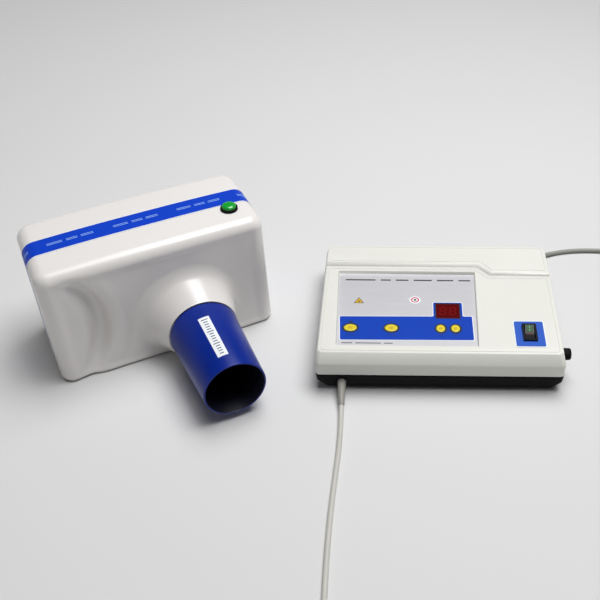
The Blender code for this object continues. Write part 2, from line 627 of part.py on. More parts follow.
def build_shells(frame, looks):
    far = 0.2
    shells = {}
    for name, front, back in (
        ("front_shell", -far, PARTING_Y),
        ("rear_shell", PARTING_Y + GAP, far),
    ):
        half_x, half_y = HEAD_LENGTH / 2, HEAD_DEPTH / 2
        shell = box(name, frame, looks["warm_white"], (-half_x, -half_y, 0.0),
                    (half_x, half_y, HEAD_HEIGHT), HEAD_ROUND, 4)
        keep = box(f"keep_{name}", frame, None, (-far, front, -far), (far, back, far))
        combine(shell, keep, "INTERSECT")
        shells[name] = shell
    front_shell, rear_shell = shells["front_shell"], shells["rear_shell"]
    face = HEAD_DEPTH / 2
    neck = [(CONE_RADIUS, NECK_END)]
    steps = 6
    for step in range(steps + 1):
        angle = math.radians(90 * step / steps)
        neck.append((CONE_RADIUS + FLARE * (1 - math.cos(angle)),
                     face + FLARE * (1 - math.sin(angle)) - 0.0005))
    profile = [(0.0, NECK_END), *neck, (CONE_RADIUS + FLARE, face - 0.004), (0.0, face - 0.004)]
    flare = turned("add_neck", frame, None, profile, (CONE_X, 0.0, CONE_Z), TOWARDS_FRONT, 40)
    combine(flare, box("cut_neck_below", frame, None, (-far, -far, -far), (far, far, 0.0002)))
    combine(front_shell, flare, "UNION")
    inset = SHELL_WALL
    hollow = box("cut_head_hollow", frame, None, (-HEAD_LENGTH / 2 + inset, -face + inset, inset),
                 (HEAD_LENGTH / 2 - inset, face - inset, HEAD_HEIGHT - inset),
                 HEAD_ROUND - inset, 3)
    combine(front_shell, hollow)
    combine(rear_shell, hollow)
    combine(front_shell, rod("cut_neck_bore", frame, None, (CONE_X, -0.045, CONE_Z), TOWARDS_FRONT,
                             SPIGOT_RADIUS + GAP, 0.060, 40))
    x, y = BUTTON_PLACE
    combine(front_shell, rod("cut_button", frame, None, (x, y, 0.1290), UP, BUTTON_HOLE,
                             0.020, 24))
    x, z = SOCKET_PLACE
    combine(rear_shell, rod("cut_inlet", frame, None, (x, 0.045, z), TOWARDS_BACK, SOCKET_HOLE,
                            0.020, 20))
    for number, (x, z) in enumerate(HEAD_SCREWS):
        combine(front_shell, rod(f"add_boss_{number}", frame, None, (x, PARTING_Y, z),
                                 TOWARDS_FRONT, BOSS_RADIUS, 0.0452, 12), "UNION")
        combine(front_shell, rod(f"cut_boss_{number}", frame, None, (x, PARTING_Y + 0.002, z),
                                 TOWARDS_FRONT, SCREW_HOLE, 0.0240, 12))
        combine(rear_shell, rod(f"add_rear_boss_{number}", frame, None, (x, PARTING_Y + GAP, z),
                                TOWARDS_BACK, BOSS_RADIUS, 0.0610, 12), "UNION")
        combine(rear_shell, rod(f"cut_rear_boss_{number}", frame, None, (x, PARTING_Y - 0.002, z),
                                TOWARDS_BACK, SCREW_HOLE, 0.0700, 12))
        combine(rear_shell, rod(f"cut_screw_head_{number}", frame, None, (x, SCREW_SEAT_Y, z),
                                TOWARDS_BACK, 0.0036, 0.0200, 14))
    for modifier in front_shell.modifiers:
        if modifier.type == "BOOLEAN":
            modifier.solver = "MANIFOLD"
    for number, (x, z) in enumerate(HEAD_SCREWS, 1):
        turned(f"shell_screw_{number}", frame, looks["steel"], (
            (0.0, 0.0026), (0.0028, 0.0026), (0.0032, 0.0020), (0.0032, 0.0), (0.0014, 0.0),
            (0.0014, -0.0700), (0.0, -0.0700),
        ), (x, SCREW_SEAT_Y + GAP, z), TOWARDS_BACK, 12)


def arc(middle, radius, start, end, steps):
    """Points of an arc, with its angles in degrees."""
    angles = [math.radians(start + (end - start) * step / steps) for step in range(steps + 1)]
    return [(middle[0] + radius * math.cos(angle), middle[1] + radius * math.sin(angle))
            for angle in angles]


def build_band(frame, looks):
    """The blue strip over the parting line: up the left side, across the top and down the right."""
    low = 0.0150
    across, high = HEAD_LENGTH / 2 - HEAD_ROUND, HEAD_HEIGHT - HEAD_ROUND
    sides = []
    for radius in (HEAD_ROUND + GAP + BAND_SHEET, HEAD_ROUND + GAP):
        sides.append([
            (-across - radius, low), *arc((-across, high), radius, 180, 90, 6),
            *arc((across, high), radius, 90, 0, 6), (across + radius, low),
        ])
    outline_plate("trim_band", frame, looks["band_blue"], [*sides[0], *reversed(sides[1])],
                  BAND_BACK - BAND_FRONT, (0, (BAND_FRONT + BAND_BACK) / 2, 0), TOWARDS_FRONT)


def build_cone(frame, looks):
    seat = NECK_END + GAP
    inner = CONE_RADIUS - CONE_WALL
    turned("aiming_cone", frame, looks["cone_blue"], (
        (CONE_RADIUS - 0.0006, CONE_END), (CONE_RADIUS, CONE_END - 0.0006), (CONE_RADIUS, seat),
        (SPIGOT_RADIUS, seat), (SPIGOT_RADIUS, seat - SPIGOT_LENGTH),
        (SPIGOT_RADIUS - CONE_WALL, seat - SPIGOT_LENGTH), (SPIGOT_RADIUS - CONE_WALL, seat),
        (inner, seat + 0.0040), (inner, CONE_END - 0.0004), (inner + 0.0004, CONE_END),
    ), (CONE_X, 0.0, CONE_Z), TOWARDS_FRONT, 40, ring=True)
    outer = arc((0, 0), CONE_RADIUS + GAP + 0.00025, 104.2, 85.4, 4)
    under = arc((0, 0), CONE_RADIUS + GAP, 85.4, 104.2, 4)
    outline_plate("cone_label", frame, looks["label_white"], [*outer, *under], 0.0612,
                  (CONE_X, -0.1314, CONE_Z), TOWARDS_FRONT)


def build_button(frame, looks):
    x, y = BUTTON_PLACE
    top = HEAD_HEIGHT
    turned("button_bezel", frame, looks["black_plastic"], (
        (0.0076, top + 0.0020), (0.0080, top + 0.0015), (0.0080, top + GAP),
        (0.0070, top + GAP), (0.0070, top - 0.0095), (0.0033, top - 0.0095),
        (0.0033, top - 0.0035), (0.0066, top - 0.0035), (0.0066, top + 0.0020),
    ), (x, y, 0.0), UP, 24, ring=True)
    turned("exposure_button", frame, looks["button_green"], (
        (0.0, top + 0.0050), (0.0030, top + 0.0049), (0.0052, top + 0.0043),
        (0.0062, top + 0.0031), (0.0063, top + 0.0006), (0.0028, top + 0.0006),
        (0.0028, top - 0.0100), (0.0, top - 0.0100),
    ), (x, y, 0.0), UP, 24)
    turns, steps, low, high = 3, 10, top - 0.0030, top + 0.0001
    count = turns * steps
    points = [
        (x + 0.0048 * math.cos(math.tau * index / steps),
         y + 0.0048 * math.sin(math.tau * index / steps),
         low + (high - low) * index / count)
        for index in range(count + 1)
    ]
    tube("button_spring", frame, looks["steel"], points, [0.0003] * len(points), 1)
    box("button_switch", frame, looks["dark_plastic"], (x - 0.0063, y - 0.0063, top - 0.0225),
        (x + 0.0063, y + 0.0063, top - 0.0123), 0.0005, 1)


def build_tank(frame, looks):
    low, high = Vector(TANK_LOW), Vector(TANK_HIGH)
    tank = box("shielded_tank", frame, looks["aluminium"], low, high, 0.0030, 1)
    wall = Vector((TANK_WALL, TANK_WALL, TANK_WALL))
    combine(tank, box("cut_tank", frame, None, low + wall, high - wall + Vector((0, 0.02, 0))))
    axis = (CONE_X, 0.0, CONE_Z)
    combine(tank, rod("cut_port", frame, None, (CONE_X, -0.030, CONE_Z), TOWARDS_FRONT,
                      0.0120, 0.020, 24))
    box("tank_lid", frame, looks["aluminium"], (low.x, high.y + GAP, low.z),
        (high.x, high.y + GAP + 0.0030, high.z), 0.0010, 1)
    turned("expansion_diaphragm", frame, looks["rubber"], (
        (0.0, 0.0020), (0.0100, 0.0020), (0.0130, 0.0034), (0.0160, 0.0018), (0.0160, 0.0),
        (0.0, 0.0),
    ), (0.0100, high.y + 0.0036, 0.0600), TOWARDS_BACK, 24)
    turned("collimator", frame, looks["lead"], (
        (0.0250, 0.0438), (0.0250, 0.0400), (0.0090, 0.0400), (0.0090, 0.0438),
    ), axis, TOWARDS_FRONT, 28, ring=True)
    rod("beam_filter", frame, looks["aluminium"], (CONE_X, -0.0441, CONE_Z), TOWARDS_FRONT,
        0.0140, 0.0015, 24)


def build_tube(frame, looks):
    """The glass x-ray tube, with its slanted copper anode and its cathode cup."""
    start, length = -0.0110, 0.0800
    turned("tube_envelope", frame, looks["glass"], (
        (0.0068, length), (0.0140, length - 0.010), (0.0145, length - 0.016), (0.0145, 0.016),
        (0.0140, 0.010), (0.0068, 0.0), (0.0056, 0.0), (0.0128, 0.0105), (0.0133, 0.0165),
        (0.0133, length - 0.0165), (0.0128, length - 0.0105), (0.0056, length),
    ), (start, 0.0, CONE_Z), TOWARDS_RIGHT, 28, ring=True)
    anode = turned("anode", frame, looks["copper"], (
        (0.0, 0.0335), (0.0095, 0.0335), (0.0095, 0.0160), (0.0050, 0.0130),
        (0.0050, -0.0200), (0.0, -0.0200),
    ), (0.0, 0.0, CONE_Z), TOWARDS_RIGHT, 24)
    cutter = box("cut_target", frame, None, (0.0, -0.03, -0.03), (0.04, 0.03, 0.03))
    cutter.location = (CONE_X, 0.0, CONE_Z)
    cutter.rotation_euler = (0.0, 0.0, -TARGET_SLANT)
    combine(anode, cutter)
    turned("cathode", frame, looks["steel"], (
        (0.0, 0.0780), (0.0050, 0.0780), (0.0050, 0.0520), (0.0080, 0.0500), (0.0080, 0.0420),
        (0.0030, 0.0420), (0.0030, 0.0445), (0.0, 0.0445),
    ), (0.0, 0.0, CONE_Z), TOWARDS_RIGHT, 20)


def build_high_voltage(frame, looks):
    core = box("high_voltage_core", frame, looks["iron"], (-0.0500, -0.0160, 0.0620),
               (-0.0060, 0.0080, 0.1020))
    for side, low in (("left", -0.0435), ("right", -0.0205)):
        combine(core, box(f"cut_high_voltage_{side}", frame, None,
                          (low, -0.0300, 0.0690), (low + 0.0080, 0.0300, 0.0950)))
    coil = box("high_voltage_coil", frame, looks["copper"], (-0.0431, -0.0230, 0.0694),
               (-0.0129, 0.0150, 0.0946), 0.0020, 2)
    combine(coil, box("cut_high_voltage_leg", frame, None,
                      (-0.0358, -0.0163, 0.0500), (-0.0202, 0.0083, 0.1100)))
    board = box("multiplier_board", frame, looks["circuit_board"], (0.0080, 0.0200, 0.0600),
                (0.0760, 0.0216, 0.1030))
    for number in range(6):
        x = 0.0180 + 0.0240 * (number % 3)
        z = 0.0710 + 0.0210 * (number // 3)
        combine(board, rod(f"add_capacitor_{number}", frame, None, (x, 0.0208, z), TOWARDS_FRONT,
                           0.0070, 0.0120, 14), "UNION")


def build_inlet(frame, looks):
    x, z = SOCKET_PLACE
    face = HEAD_DEPTH / 2
    turned("lead_inlet", frame, looks["connector_metal"], (
        (0.0, face - 0.0100), (0.0054, face - 0.0100), (0.0054, face + 0.0024),
        (0.0082, face + 0.0024), (0.0088, face + 0.0018), (0.0088, face + GAP),
        (0.0070, face + GAP), (0.0070, face - 0.0150), (0.0, face - 0.0150),
    ), (x, 0.0, z), TOWARDS_BACK, 24)


def make_looks():
    return {
        "ivory_plastic": make_material("ivory_plastic", (0.84, 0.83, 0.78), 0.42),
        "warm_white": make_material("warm_white", (0.88, 0.86, 0.82), 0.30),
        "black_plastic": make_material("black_plastic", (0.012, 0.012, 0.013), 0.40),
        "dark_plastic": make_material("dark_plastic", (0.020, 0.021, 0.024), 0.35),
        "rubber": make_material("rubber", (0.020, 0.020, 0.020), 0.80),
        "silver_film": make_material("silver_film", (0.66, 0.66, 0.68), 0.35, 0.3),
        "red_filter": make_material("red_filter", (0.19, 0.004, 0.006), 0.15),
        "key_yellow": make_material("key_yellow", (0.80, 0.60, 0.03), 0.45),
        "label_blue": make_material("label_blue", (0.035, 0.110, 0.520), 0.45),
        "band_blue": make_material("band_blue", (0.010, 0.075, 0.520), 0.35),
        "cone_blue": make_material("cone_blue", (0.004, 0.025, 0.210), 0.22),
        "button_green": make_material("button_green", (0.010, 0.330, 0.045), 0.30),
        "label_white": make_material("label_white", (0.80, 0.80, 0.79), 0.50),
        "cord_grey": make_material("cord_grey", (0.42, 0.41, 0.37), 0.50),
        "circuit_board": make_material("circuit_board", (0.010, 0.120, 0.035), 0.45),
        "steel": make_material("steel", (0.62, 0.62, 0.62), 0.30, 1.0),
        "iron": make_material("iron", (0.25, 0.25, 0.26), 0.45, 1.0),
        "aluminium": make_material("aluminium", (0.70, 0.71, 0.72), 0.40, 1.0),
        "lead": make_material("lead", (0.30, 0.31, 0.33), 0.60, 1.0),
        "copper": make_material("copper", (0.72, 0.33, 0.16), 0.35, 1.0),
        "connector_metal": make_material("connector_metal", (0.60, 0.60, 0.61), 0.30, 1.0),
        "glass": make_material("glass", (0.80, 0.86, 0.86), 0.05),
    }


clear_scene()
PARTS = make_collection("intraoral_xray_unit", False)
CUTTERS = make_collection("cutters", True)
LOOKS = make_looks()
CONTROL_BOX = make_frame("control_box_frame", BOX_PLACE, 0.0)
TUBE_HEAD = make_frame("tube_head_frame", (0.0, 0.0, 0.0), HEAD_YAW)

for build in (build_base, build_cover, build_panel, build_electronics, build_rocker, build_fuse,
              build_leads):
    build(CONTROL_BOX, LOOKS)
for build in (build_shells, build_band, build_cone, build_button, build_tank, build_tube,
              build_high_voltage, build_inlet):
    build(TUBE_HEAD, LOOKS)
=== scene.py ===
"""The looks of the intraoral x-ray unit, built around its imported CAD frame.

Metres, +Z up. Pieces of the tube head are drawn in the head's own axes, and pieces of the control
box in the box's own axes (x across, y back from the box's front, z up), then moved into place.
"""

import json
import math

import bmesh
import bpy
import numpy as np
from mathutils import Matrix, Vector


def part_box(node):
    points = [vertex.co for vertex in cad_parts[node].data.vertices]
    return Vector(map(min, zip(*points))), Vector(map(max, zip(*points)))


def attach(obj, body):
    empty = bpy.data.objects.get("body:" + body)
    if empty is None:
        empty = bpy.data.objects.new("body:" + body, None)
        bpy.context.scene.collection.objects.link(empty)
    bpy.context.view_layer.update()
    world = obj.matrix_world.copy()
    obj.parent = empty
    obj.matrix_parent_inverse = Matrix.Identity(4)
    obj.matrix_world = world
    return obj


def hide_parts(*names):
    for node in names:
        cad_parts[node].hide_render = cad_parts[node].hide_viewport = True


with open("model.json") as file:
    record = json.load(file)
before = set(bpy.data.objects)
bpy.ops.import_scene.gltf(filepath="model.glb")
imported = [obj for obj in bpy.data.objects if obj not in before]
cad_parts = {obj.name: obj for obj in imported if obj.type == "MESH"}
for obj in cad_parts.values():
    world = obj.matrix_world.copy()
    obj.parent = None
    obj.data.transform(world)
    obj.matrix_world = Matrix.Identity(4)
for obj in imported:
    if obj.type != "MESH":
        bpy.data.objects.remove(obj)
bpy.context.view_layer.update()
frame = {"nodes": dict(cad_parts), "record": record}
MOUNTS = {mount["name"]: mount for mount in frame["record"]["mounts"]}


def node_box(node, place):
    """Lowest and highest corners of a CAD node, in the axes of place."""
    back = place.inverted()
    points = np.array([back @ vertex.co for vertex in frame["nodes"][node].data.vertices])
    return Vector(points.min(0)), Vector(points.max(0))


def middle(node, place):
    """The middle of a CAD node's box, in the axes of place."""
    low, high = node_box(node, place)
    return (low + high) / 2


def turn_x(degrees):
    return Matrix.Rotation(math.radians(degrees), 4, "X")


def move_to(x, y, z):
    return Matrix.Translation((x, y, z))


def mm(*points):
    """Points that are given in millimetres."""
    return [tuple(value / 1000 for value in point) for point in points]


# The two housings' own axes, from the frame
CONE_WAY = Vector(MOUNTS["cone_mouth"]["axis"])
HEAD = Matrix.Rotation(math.atan2(CONE_WAY.x, -CONE_WAY.y), 4, "Z")
COVER_LOW, COVER_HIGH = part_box("base_pan")[0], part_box("top_cover")[1]
BOX = move_to((COVER_LOW.x + COVER_HIGH.x) / 2, COVER_LOW.y, 0.0)
TO_FRONT = turn_x(90)
TO_BACK = turn_x(-90)
TO_RIGHT = Matrix.Rotation(math.radians(90), 4, "Y")

# Control box sizes
BOX_WIDTH = COVER_HIGH.x - COVER_LOW.x
BOX_DEPTH = COVER_HIGH.y - COVER_LOW.y
TOP_Z = COVER_HIGH.z
SEAM_Z = 0.0212
BASE_LOW = COVER_LOW.z
CREASE_Z = 0.037
SIDE_GROW = 0.0014
TOP_INSET, TOP_FRONT, TOP_BACK = 0.003, 0.0068, 0.01
PANEL_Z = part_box("panel_overlay")[1].z
PANEL_CORNERS = mm((-105, 17.5), (38.8, 17.5), (41.2, 138.5), (-109.2, 138.5))
GROOVE = mm((-140, 150), (45, 150), (58, 135.4), (140, 135.4))
GROOVE_HALF, GROOVE_DEPTH = 0.0058, 0.0014
FILM = 0.00006
ROCKER_HOLE = (0.0066, 0.0118)
THROUGH_TOP = (0.03, 0.06)    # heights below and above the cover's top wall
INNER_CORNERS = (0.004, 0.008)
KEY_SKIRT = 0.0008
KEYS = ("key_mode_left", "key_mode_right", "key_time_down", "key_time_up")

# Tube head sizes
SHELL_LOW, SHELL_HIGH = node_box("rear_shell", HEAD)
HALF_LENGTH = SHELL_HIGH.x + 0.003
HALF_DEPTH = SHELL_HIGH.y
HEAD_HEIGHT = SHELL_HIGH.z
CONE_LOW, CONE_HIGH = node_box("aiming_cone", HEAD)
CONE_X = (CONE_LOW.x + CONE_HIGH.x) / 2
CONE_Z = (CONE_LOW.z + CONE_HIGH.z) / 2
CONE_RADIUS = (CONE_HIGH.x - CONE_LOW.x) / 2
NECK_END = 0.0818
SPIGOT_END = 0.072
CONE_END = -CONE_LOW.y
SIDE_ROUND, TOP_ROUND, FOOT_ROUND, FLARE = 0.0145, 0.0125, 0.006, 0.008
CROWN, CROSS_CROWN, BOW = 0.002, 0.0012, 0.0012
NECK_RADIUS, NECK_SWELL, CONE_BASE_RADIUS = 0.0366, 0.013, 0.0356
NECK_ASIDE, NECK_ABOVE = -0.005, 0.008
NECK_ROOT, NECK_FOOT, NECK_SPARE = 0.03, 0.053, 0.012    # start, face, length to cut off
PARTING_Y = SHELL_LOW.y
SHELL_WALL = 0.0028
CORD = 0.005

LOOKS = {}


# ---------------------------------------------------------------- materials

def noise(tree, source, scale, detail, stretch=None):
    """Noise over the object's own coordinates, in features per metre."""
    texture = tree.nodes.new("ShaderNodeTexNoise")
    texture.inputs["Scale"].default_value = scale
    texture.inputs["Detail"].default_value = detail
    if stretch:
        mapping = tree.nodes.new("ShaderNodeMapping")
        mapping.inputs["Scale"].default_value = stretch
        tree.links.new(source, mapping.inputs["Vector"])
        source = mapping.outputs["Vector"]
    tree.links.new(source, texture.inputs["Vector"])
    return texture.outputs["Fac"]


def make_look(name, colour, roughness, mottle=0.04, patches=35, grain=1500, bump=0.03,
              spread=0.06, stretch=None, **sockets):
    """A moulded, printed or metal surface: mottled colour, uneven gloss and a fine grain."""
    look = bpy.data.materials.new(name)
    look.use_nodes = True
    tree = look.node_tree
    shader = tree.nodes["Principled BSDF"]
    for socket, value in sockets.items():
        shader.inputs[socket.replace("_", " ").title().replace("Ior", "IOR")].default_value = value
    source = tree.nodes.new("ShaderNodeTexCoord").outputs["Object"]
    tint = tree.nodes.new("ShaderNodeMix")
    tint.data_type = "RGBA"
    tint.inputs["A"].default_value = (*[part * (1 - mottle) for part in colour], 1.0)
    tint.inputs["B"].default_value = (*[min(part * (1 + mottle), 1.0) for part in colour], 1.0)
    tree.links.new(noise(tree, source, patches, 3.0, stretch), tint.inputs["Factor"])
    tree.links.new(tint.outputs["Result"], shader.inputs["Base Color"])
    gloss = tree.nodes.new("ShaderNodeMapRange")
    gloss.inputs["To Min"].default_value = max(roughness - spread, 0.02)
    gloss.inputs["To Max"].default_value = min(roughness + spread, 1.0)
    tree.links.new(noise(tree, source, patches * 6, 4.0, stretch), gloss.inputs["Value"])
    tree.links.new(gloss.outputs["Result"], shader.inputs["Roughness"])
    relief = tree.nodes.new("ShaderNodeBump")
    relief.inputs["Strength"].default_value = bump
    relief.inputs["Distance"].default_value = 0.0003
    tree.links.new(noise(tree, source, grain, 2.0, stretch), relief.inputs["Height"])
    tree.links.new(relief.outputs["Normal"], shader.inputs["Normal"])
    LOOKS[name] = look
    return look


def make_looks():
    make_look("warm_white", (0.77, 0.745, 0.725), 0.27, 0.0, 9.0, 320, 0.0, spread=0.0,
              coat_weight=0.3, coat_roughness=0.12)
    make_look("ivory_plastic", (0.72, 0.72, 0.67), 0.42, 0.02, 30, 3200, 0.12)
    make_look("black_plastic", (0.003, 0.003, 0.0035), 0.52, 0.2, 60, 2200, 0.2,
              specular_ior_level=0.11)
    make_look("dark_plastic", (0.007, 0.008, 0.01), 0.34, 0.12, 60, 2500, 0.08,
              specular_ior_level=0.28)
    make_look("rubber", (0.016, 0.016, 0.016), 0.78, 0.25, 90, 1800, 0.35)
    make_look("silver_film", (0.65, 0.65, 0.68), 0.36, 0.05, 22, 2600, 0.06, metallic=0.35,
              stretch=(1.0, 6.0, 1.0))
    make_look("blue_print", (0.001, 0.046, 0.42), 0.48, 0.06, 40, 2600, 0.05,
              specular_ior_level=0.18)
    make_look("label_blue", (0.03, 0.105, 0.5), 0.48, 0.06, 40, 2600, 0.05,
              specular_ior_level=0.18)
    make_look("band_blue", (0.001, 0.044, 0.5), 0.4, 0.06, 40, 2600, 0.05,
              specular_ior_level=0.22)
    make_look("white_print", (0.8, 0.83, 0.87), 0.42, 0.03, 60)
    make_look("dark_print", (0.03, 0.032, 0.04), 0.45, 0.1, 60)
    make_look("shade_print", (0.006, 0.016, 0.055), 0.4, 0.12, 60)
    make_look("light_print", (0.3, 0.5, 0.9), 0.4, 0.08, 80)
    make_look("amber_print", (0.6, 0.36, 0.02), 0.4, 0.1, 60)
    make_look("red_print", (0.55, 0.05, 0.07), 0.42, 0.08, 60)
    make_look("key_yellow", (0.68, 0.56, 0.02), 0.4, 0.08, 120, 1800, 0.1)
    make_look("key_amber", (0.62, 0.38, 0.01), 0.42, 0.08, 120)
    make_look("red_filter", (0.09, 0.001, 0.002), 0.25, 0.1, 60, specular_ior_level=0.15)
    make_look("red_segment", (0.17, 0.002, 0.003), 0.3, 0.08, 80, specular_ior_level=0.15,
              emission_color=(0.7, 0.01, 0.01, 1.0), emission_strength=0.05)
    make_look("cone_blue", (0.001, 0.018, 0.23), 0.3, 0.1, 30, 1500, 0.05,
              specular_ior_level=0.3)
    # Painted shade: the inside of the aiming tube is coloured near black, far darker than its blue
    # outside, for the shade that falls inside the tube
    make_look("cone_inside_shade", (0.0012, 0.002, 0.014), 0.5, 0.15, 40, 1500, 0.1)
    make_look("button_green", (0.002, 0.33, 0.025), 0.24, 0.08, 150, coat_weight=0.6,
              coat_roughness=0.08)
    make_look("lens_green", (0.003, 0.06, 0.014), 0.34, 0.1, 200, specular_ior_level=0.15,
              emission_color=(0.02, 0.35, 0.08, 1.0), emission_strength=0.03)
    make_look("mark_green", (0.05, 0.23, 0.08), 0.35, 0.1, 200)
    make_look("cord_grey", (0.52, 0.51, 0.47), 0.45, 0.06, 60, 1600, 0.12)
    make_look("relief_grey", (0.27, 0.26, 0.235), 0.5, 0.06, 60, 1600, 0.12)
    make_look("mains_grey", (0.28, 0.28, 0.25), 0.45, 0.06, 60, 1600, 0.12)
    make_look("steel", (0.58, 0.58, 0.58), 0.28, 0.06, 200, 3000, 0.1, metallic=1.0)
    make_look("connector_metal", (0.62, 0.61, 0.6), 0.24, 0.05, 150, 3000, 0.08, metallic=1.0)
    make_look("contact_gold", (0.75, 0.52, 0.18), 0.25, 0.06, 200, metallic=1.0)
    make_look("iron", (0.22, 0.22, 0.23), 0.45, 0.12, 120, 900, 0.3, metallic=1.0,
              stretch=(1.0, 30, 1.0))
    make_look("aluminium", (0.66, 0.67, 0.68), 0.38, 0.05, 60, 1500, 0.12, metallic=1.0)
    make_look("lead", (0.28, 0.29, 0.31), 0.6, 0.12, 60, 700, 0.3, metallic=1.0)
    make_look("copper", (0.66, 0.29, 0.13), 0.34, 0.1, 120, 900, 0.35, metallic=1.0,
              stretch=(1.0, 1.0, 40))
    make_look("circuit_board", (0.008, 0.1, 0.03), 0.4, 0.3, 300, 900, 0.2)
    make_look("glass", (0.8, 0.86, 0.86), 0.05, 0.03, 60, transmission_weight=0.9, ior=1.47)


def dress_cad_nodes():
    """Gives every carried-over CAD node a procedural finish of its own slot."""
    finish = {"label_blue": "blue_print", "label_white": "white_print"}
    for part in frame["record"]["subparts"]:
        slot = part["material_slot"]
        node = frame["nodes"][part["node"]]
        node.data.materials.clear()
        node.data.materials.append(LOOKS[finish.get(slot, slot)])


# ---------------------------------------------------------------- mesh helpers

def baked(item):
    """Applies an object's modifiers to its mesh."""
    graph = bpy.context.evaluated_depsgraph_get()
    mesh = bpy.data.meshes.new_from_object(item.evaluated_get(graph))
    item.modifiers.clear()
    item.data = mesh
    return item


def linked(name, data):
    """A new object in the scene."""
    item = bpy.data.objects.new(name, data)
    bpy.context.scene.collection.objects.link(item)
    return item


def scene_object(name, shape, angle=35):
    """A mesh object from a bmesh that is in its final axes."""
    bmesh.ops.recalc_face_normals(shape, faces=shape.faces)
    mesh = bpy.data.meshes.new(name)
    shape.to_mesh(mesh)
    shape.free()
    mesh.shade_smooth()
    mesh.set_sharp_from_angle(angle=math.radians(angle))
    return linked(name, mesh)


def cut(item, tool):
    """Cuts a closed shape from an object and removes the cutter."""
    change = item.modifiers.new("cut", "BOOLEAN")
    change.operation = "DIFFERENCE"
    change.solver = "MANIFOLD"
    change.object = tool
    baked(item)
    bpy.data.objects.remove(tool)
    return item


def round_edges(item, width, segments=3, angle=30):
    bevel = item.modifiers.new("edges", "BEVEL")
    bevel.width = width
    bevel.segments = segments
    bevel.limit_method = "ANGLE"
    bevel.angle_limit = math.radians(angle)
    bevel.harden_normals = True
    return baked(item)


def finish_piece(item, look, body, *nodes, slot=None):
    """Gives a piece its material and the body it rides on, and hides the CAD nodes it replaces. The
    slot argument is not used.
    """
    item.data.materials.clear()
    item.data.materials.append(LOOKS[look])
    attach(item, body)
    if nodes:
        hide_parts(*nodes)
    return item


def shade(item, place, angle):
    """Moves a cut shape into place and smooths its faces up to an angle in degrees."""
    item.data.transform(place)
    item.data.shade_smooth()
    item.data.set_sharp_from_angle(angle=math.radians(angle))


def moved(shape, place):
    bmesh.ops.transform(shape, matrix=place, verts=shape.verts)
    return shape


def lathe(profile, sides=64, ring=False, ribs=0, rib_depth=0.0):
    """A turned shape about Z from profile points (radius, height), closed at the axis or a ring."""
    shape = bmesh.new()
    rows = []
    for radius, height in profile:
        count = sides if radius > 1e-7 else 1
        row = []
        for step in range(count):
            angle = math.tau * step / sides
            inward = rib_depth if radius and ribs and step * ribs // sides % 2 else 0.0
            reach = radius - inward
            row.append(shape.verts.new((reach * math.cos(angle), reach * math.sin(angle), height)))
        rows.append(row)
    pairs = list(zip(rows, rows[1:]))
    if ring:
        pairs.append((rows[-1], rows[0]))
    for low, high in pairs:
        for step in range(sides):
            after = (step + 1) % sides
            corners = (low[step % len(low)], low[after % len(low)],
                       high[after % len(high)], high[step % len(high)])
            shape.faces.new(list(dict.fromkeys(corners)))
    return shape


def turned(name, profile, place, look, body, *nodes, slot=None, sides=64, angle=35, **form):
    """A finished piece turned about the Z axis of place."""
    item = scene_object(name, moved(lathe(profile, sides, **form), place), angle)
    return finish_piece(item, look, body, *nodes, slot=slot)


def rounded(corners, radius, steps=6):
    """The outline through these corners, each rounded off."""
    points = []
    count = len(corners)
    for index in range(count):
        here = Vector(corners[index])
        back = Vector(corners[index - 1]) - here
        ahead = Vector(corners[(index + 1) % count]) - here
        reach = radius / math.tan(back.angle(ahead) / 2)
        reach = min(reach, back.length * 0.49, ahead.length * 0.49)
        start, end = here + back.normalized() * reach, here + ahead.normalized() * reach
        for step in range(steps + 1):
            t = step / steps
            points.append(tuple(start.lerp(here, t).lerp(here.lerp(end, t), t)))
    return points


def rectangle(x, y, half_x, half_y):
    return [(x - half_x, y - half_y), (x + half_x, y - half_y),
            (x + half_x, y + half_y), (x - half_x, y + half_y)]


def pad(x, y, half_x, half_y, radius, steps=6):
    """The outline of a rectangle with rounded corners."""
    return rounded(rectangle(x, y, half_x, half_y), radius, steps)


def ellipse(x, y, half_x, half_y, steps=40):
    return [(x + half_x * math.cos(math.tau * step / steps),
             y + half_y * math.sin(math.tau * step / steps)) for step in range(steps)]


def bars(x, y, lengths, gap, height):
    """The outlines of a row of printed dashes, from x on."""
    row = []
    for length in lengths:
        row.append(pad(x + length / 2, y, length / 2, height / 2, height * 0.3, 2))
        x += length + gap
    return row


def flat(name, outlines, low, high, place):
    """A flat piece between two heights. An outline inside another is a hole."""
    curve = bpy.data.curves.new(name, "CURVE")
    curve.dimensions = "2D"
    curve.fill_mode = "BOTH"
    curve.extrude = (high - low) / 2
    for outline in outlines:
        spline = curve.splines.new("POLY")
        spline.points.add(len(outline) - 1)
        spline.use_cyclic_u = True
        for point, (x, y) in zip(spline.points, outline):
            point.co = (x, y, 0.0, 1.0)
    drawn = linked(name, curve)
    bpy.context.view_layer.update()
    shape = bmesh.new()
    shape.from_mesh(bpy.data.meshes.new_from_object(
        drawn.evaluated_get(bpy.context.evaluated_depsgraph_get())))
    bpy.data.objects.remove(drawn)
    bmesh.ops.remove_doubles(shape, verts=shape.verts, dist=1e-7)
    return scene_object(name, moved(shape, place @ move_to(0, 0, (low + high) / 2)))


def corner_ring(half_width, front, back, height, front_corner, back_corner, steps=8):
    """Points around a rectangle with rounded corners, at one height."""
    points = []
    for side_x, y, radius, start in (
        (1, front + front_corner, front_corner, -90), (1, back - back_corner, back_corner, 0),
        (-1, back - back_corner, back_corner, 90), (-1, front + front_corner, front_corner, 180),
    ):
        for step in range(steps + 1):
            angle = math.radians(start + 90 * step / steps)
            points.append((side_x * (half_width - radius) + radius * math.cos(angle),
                           y + radius * math.sin(angle), height))
    return points


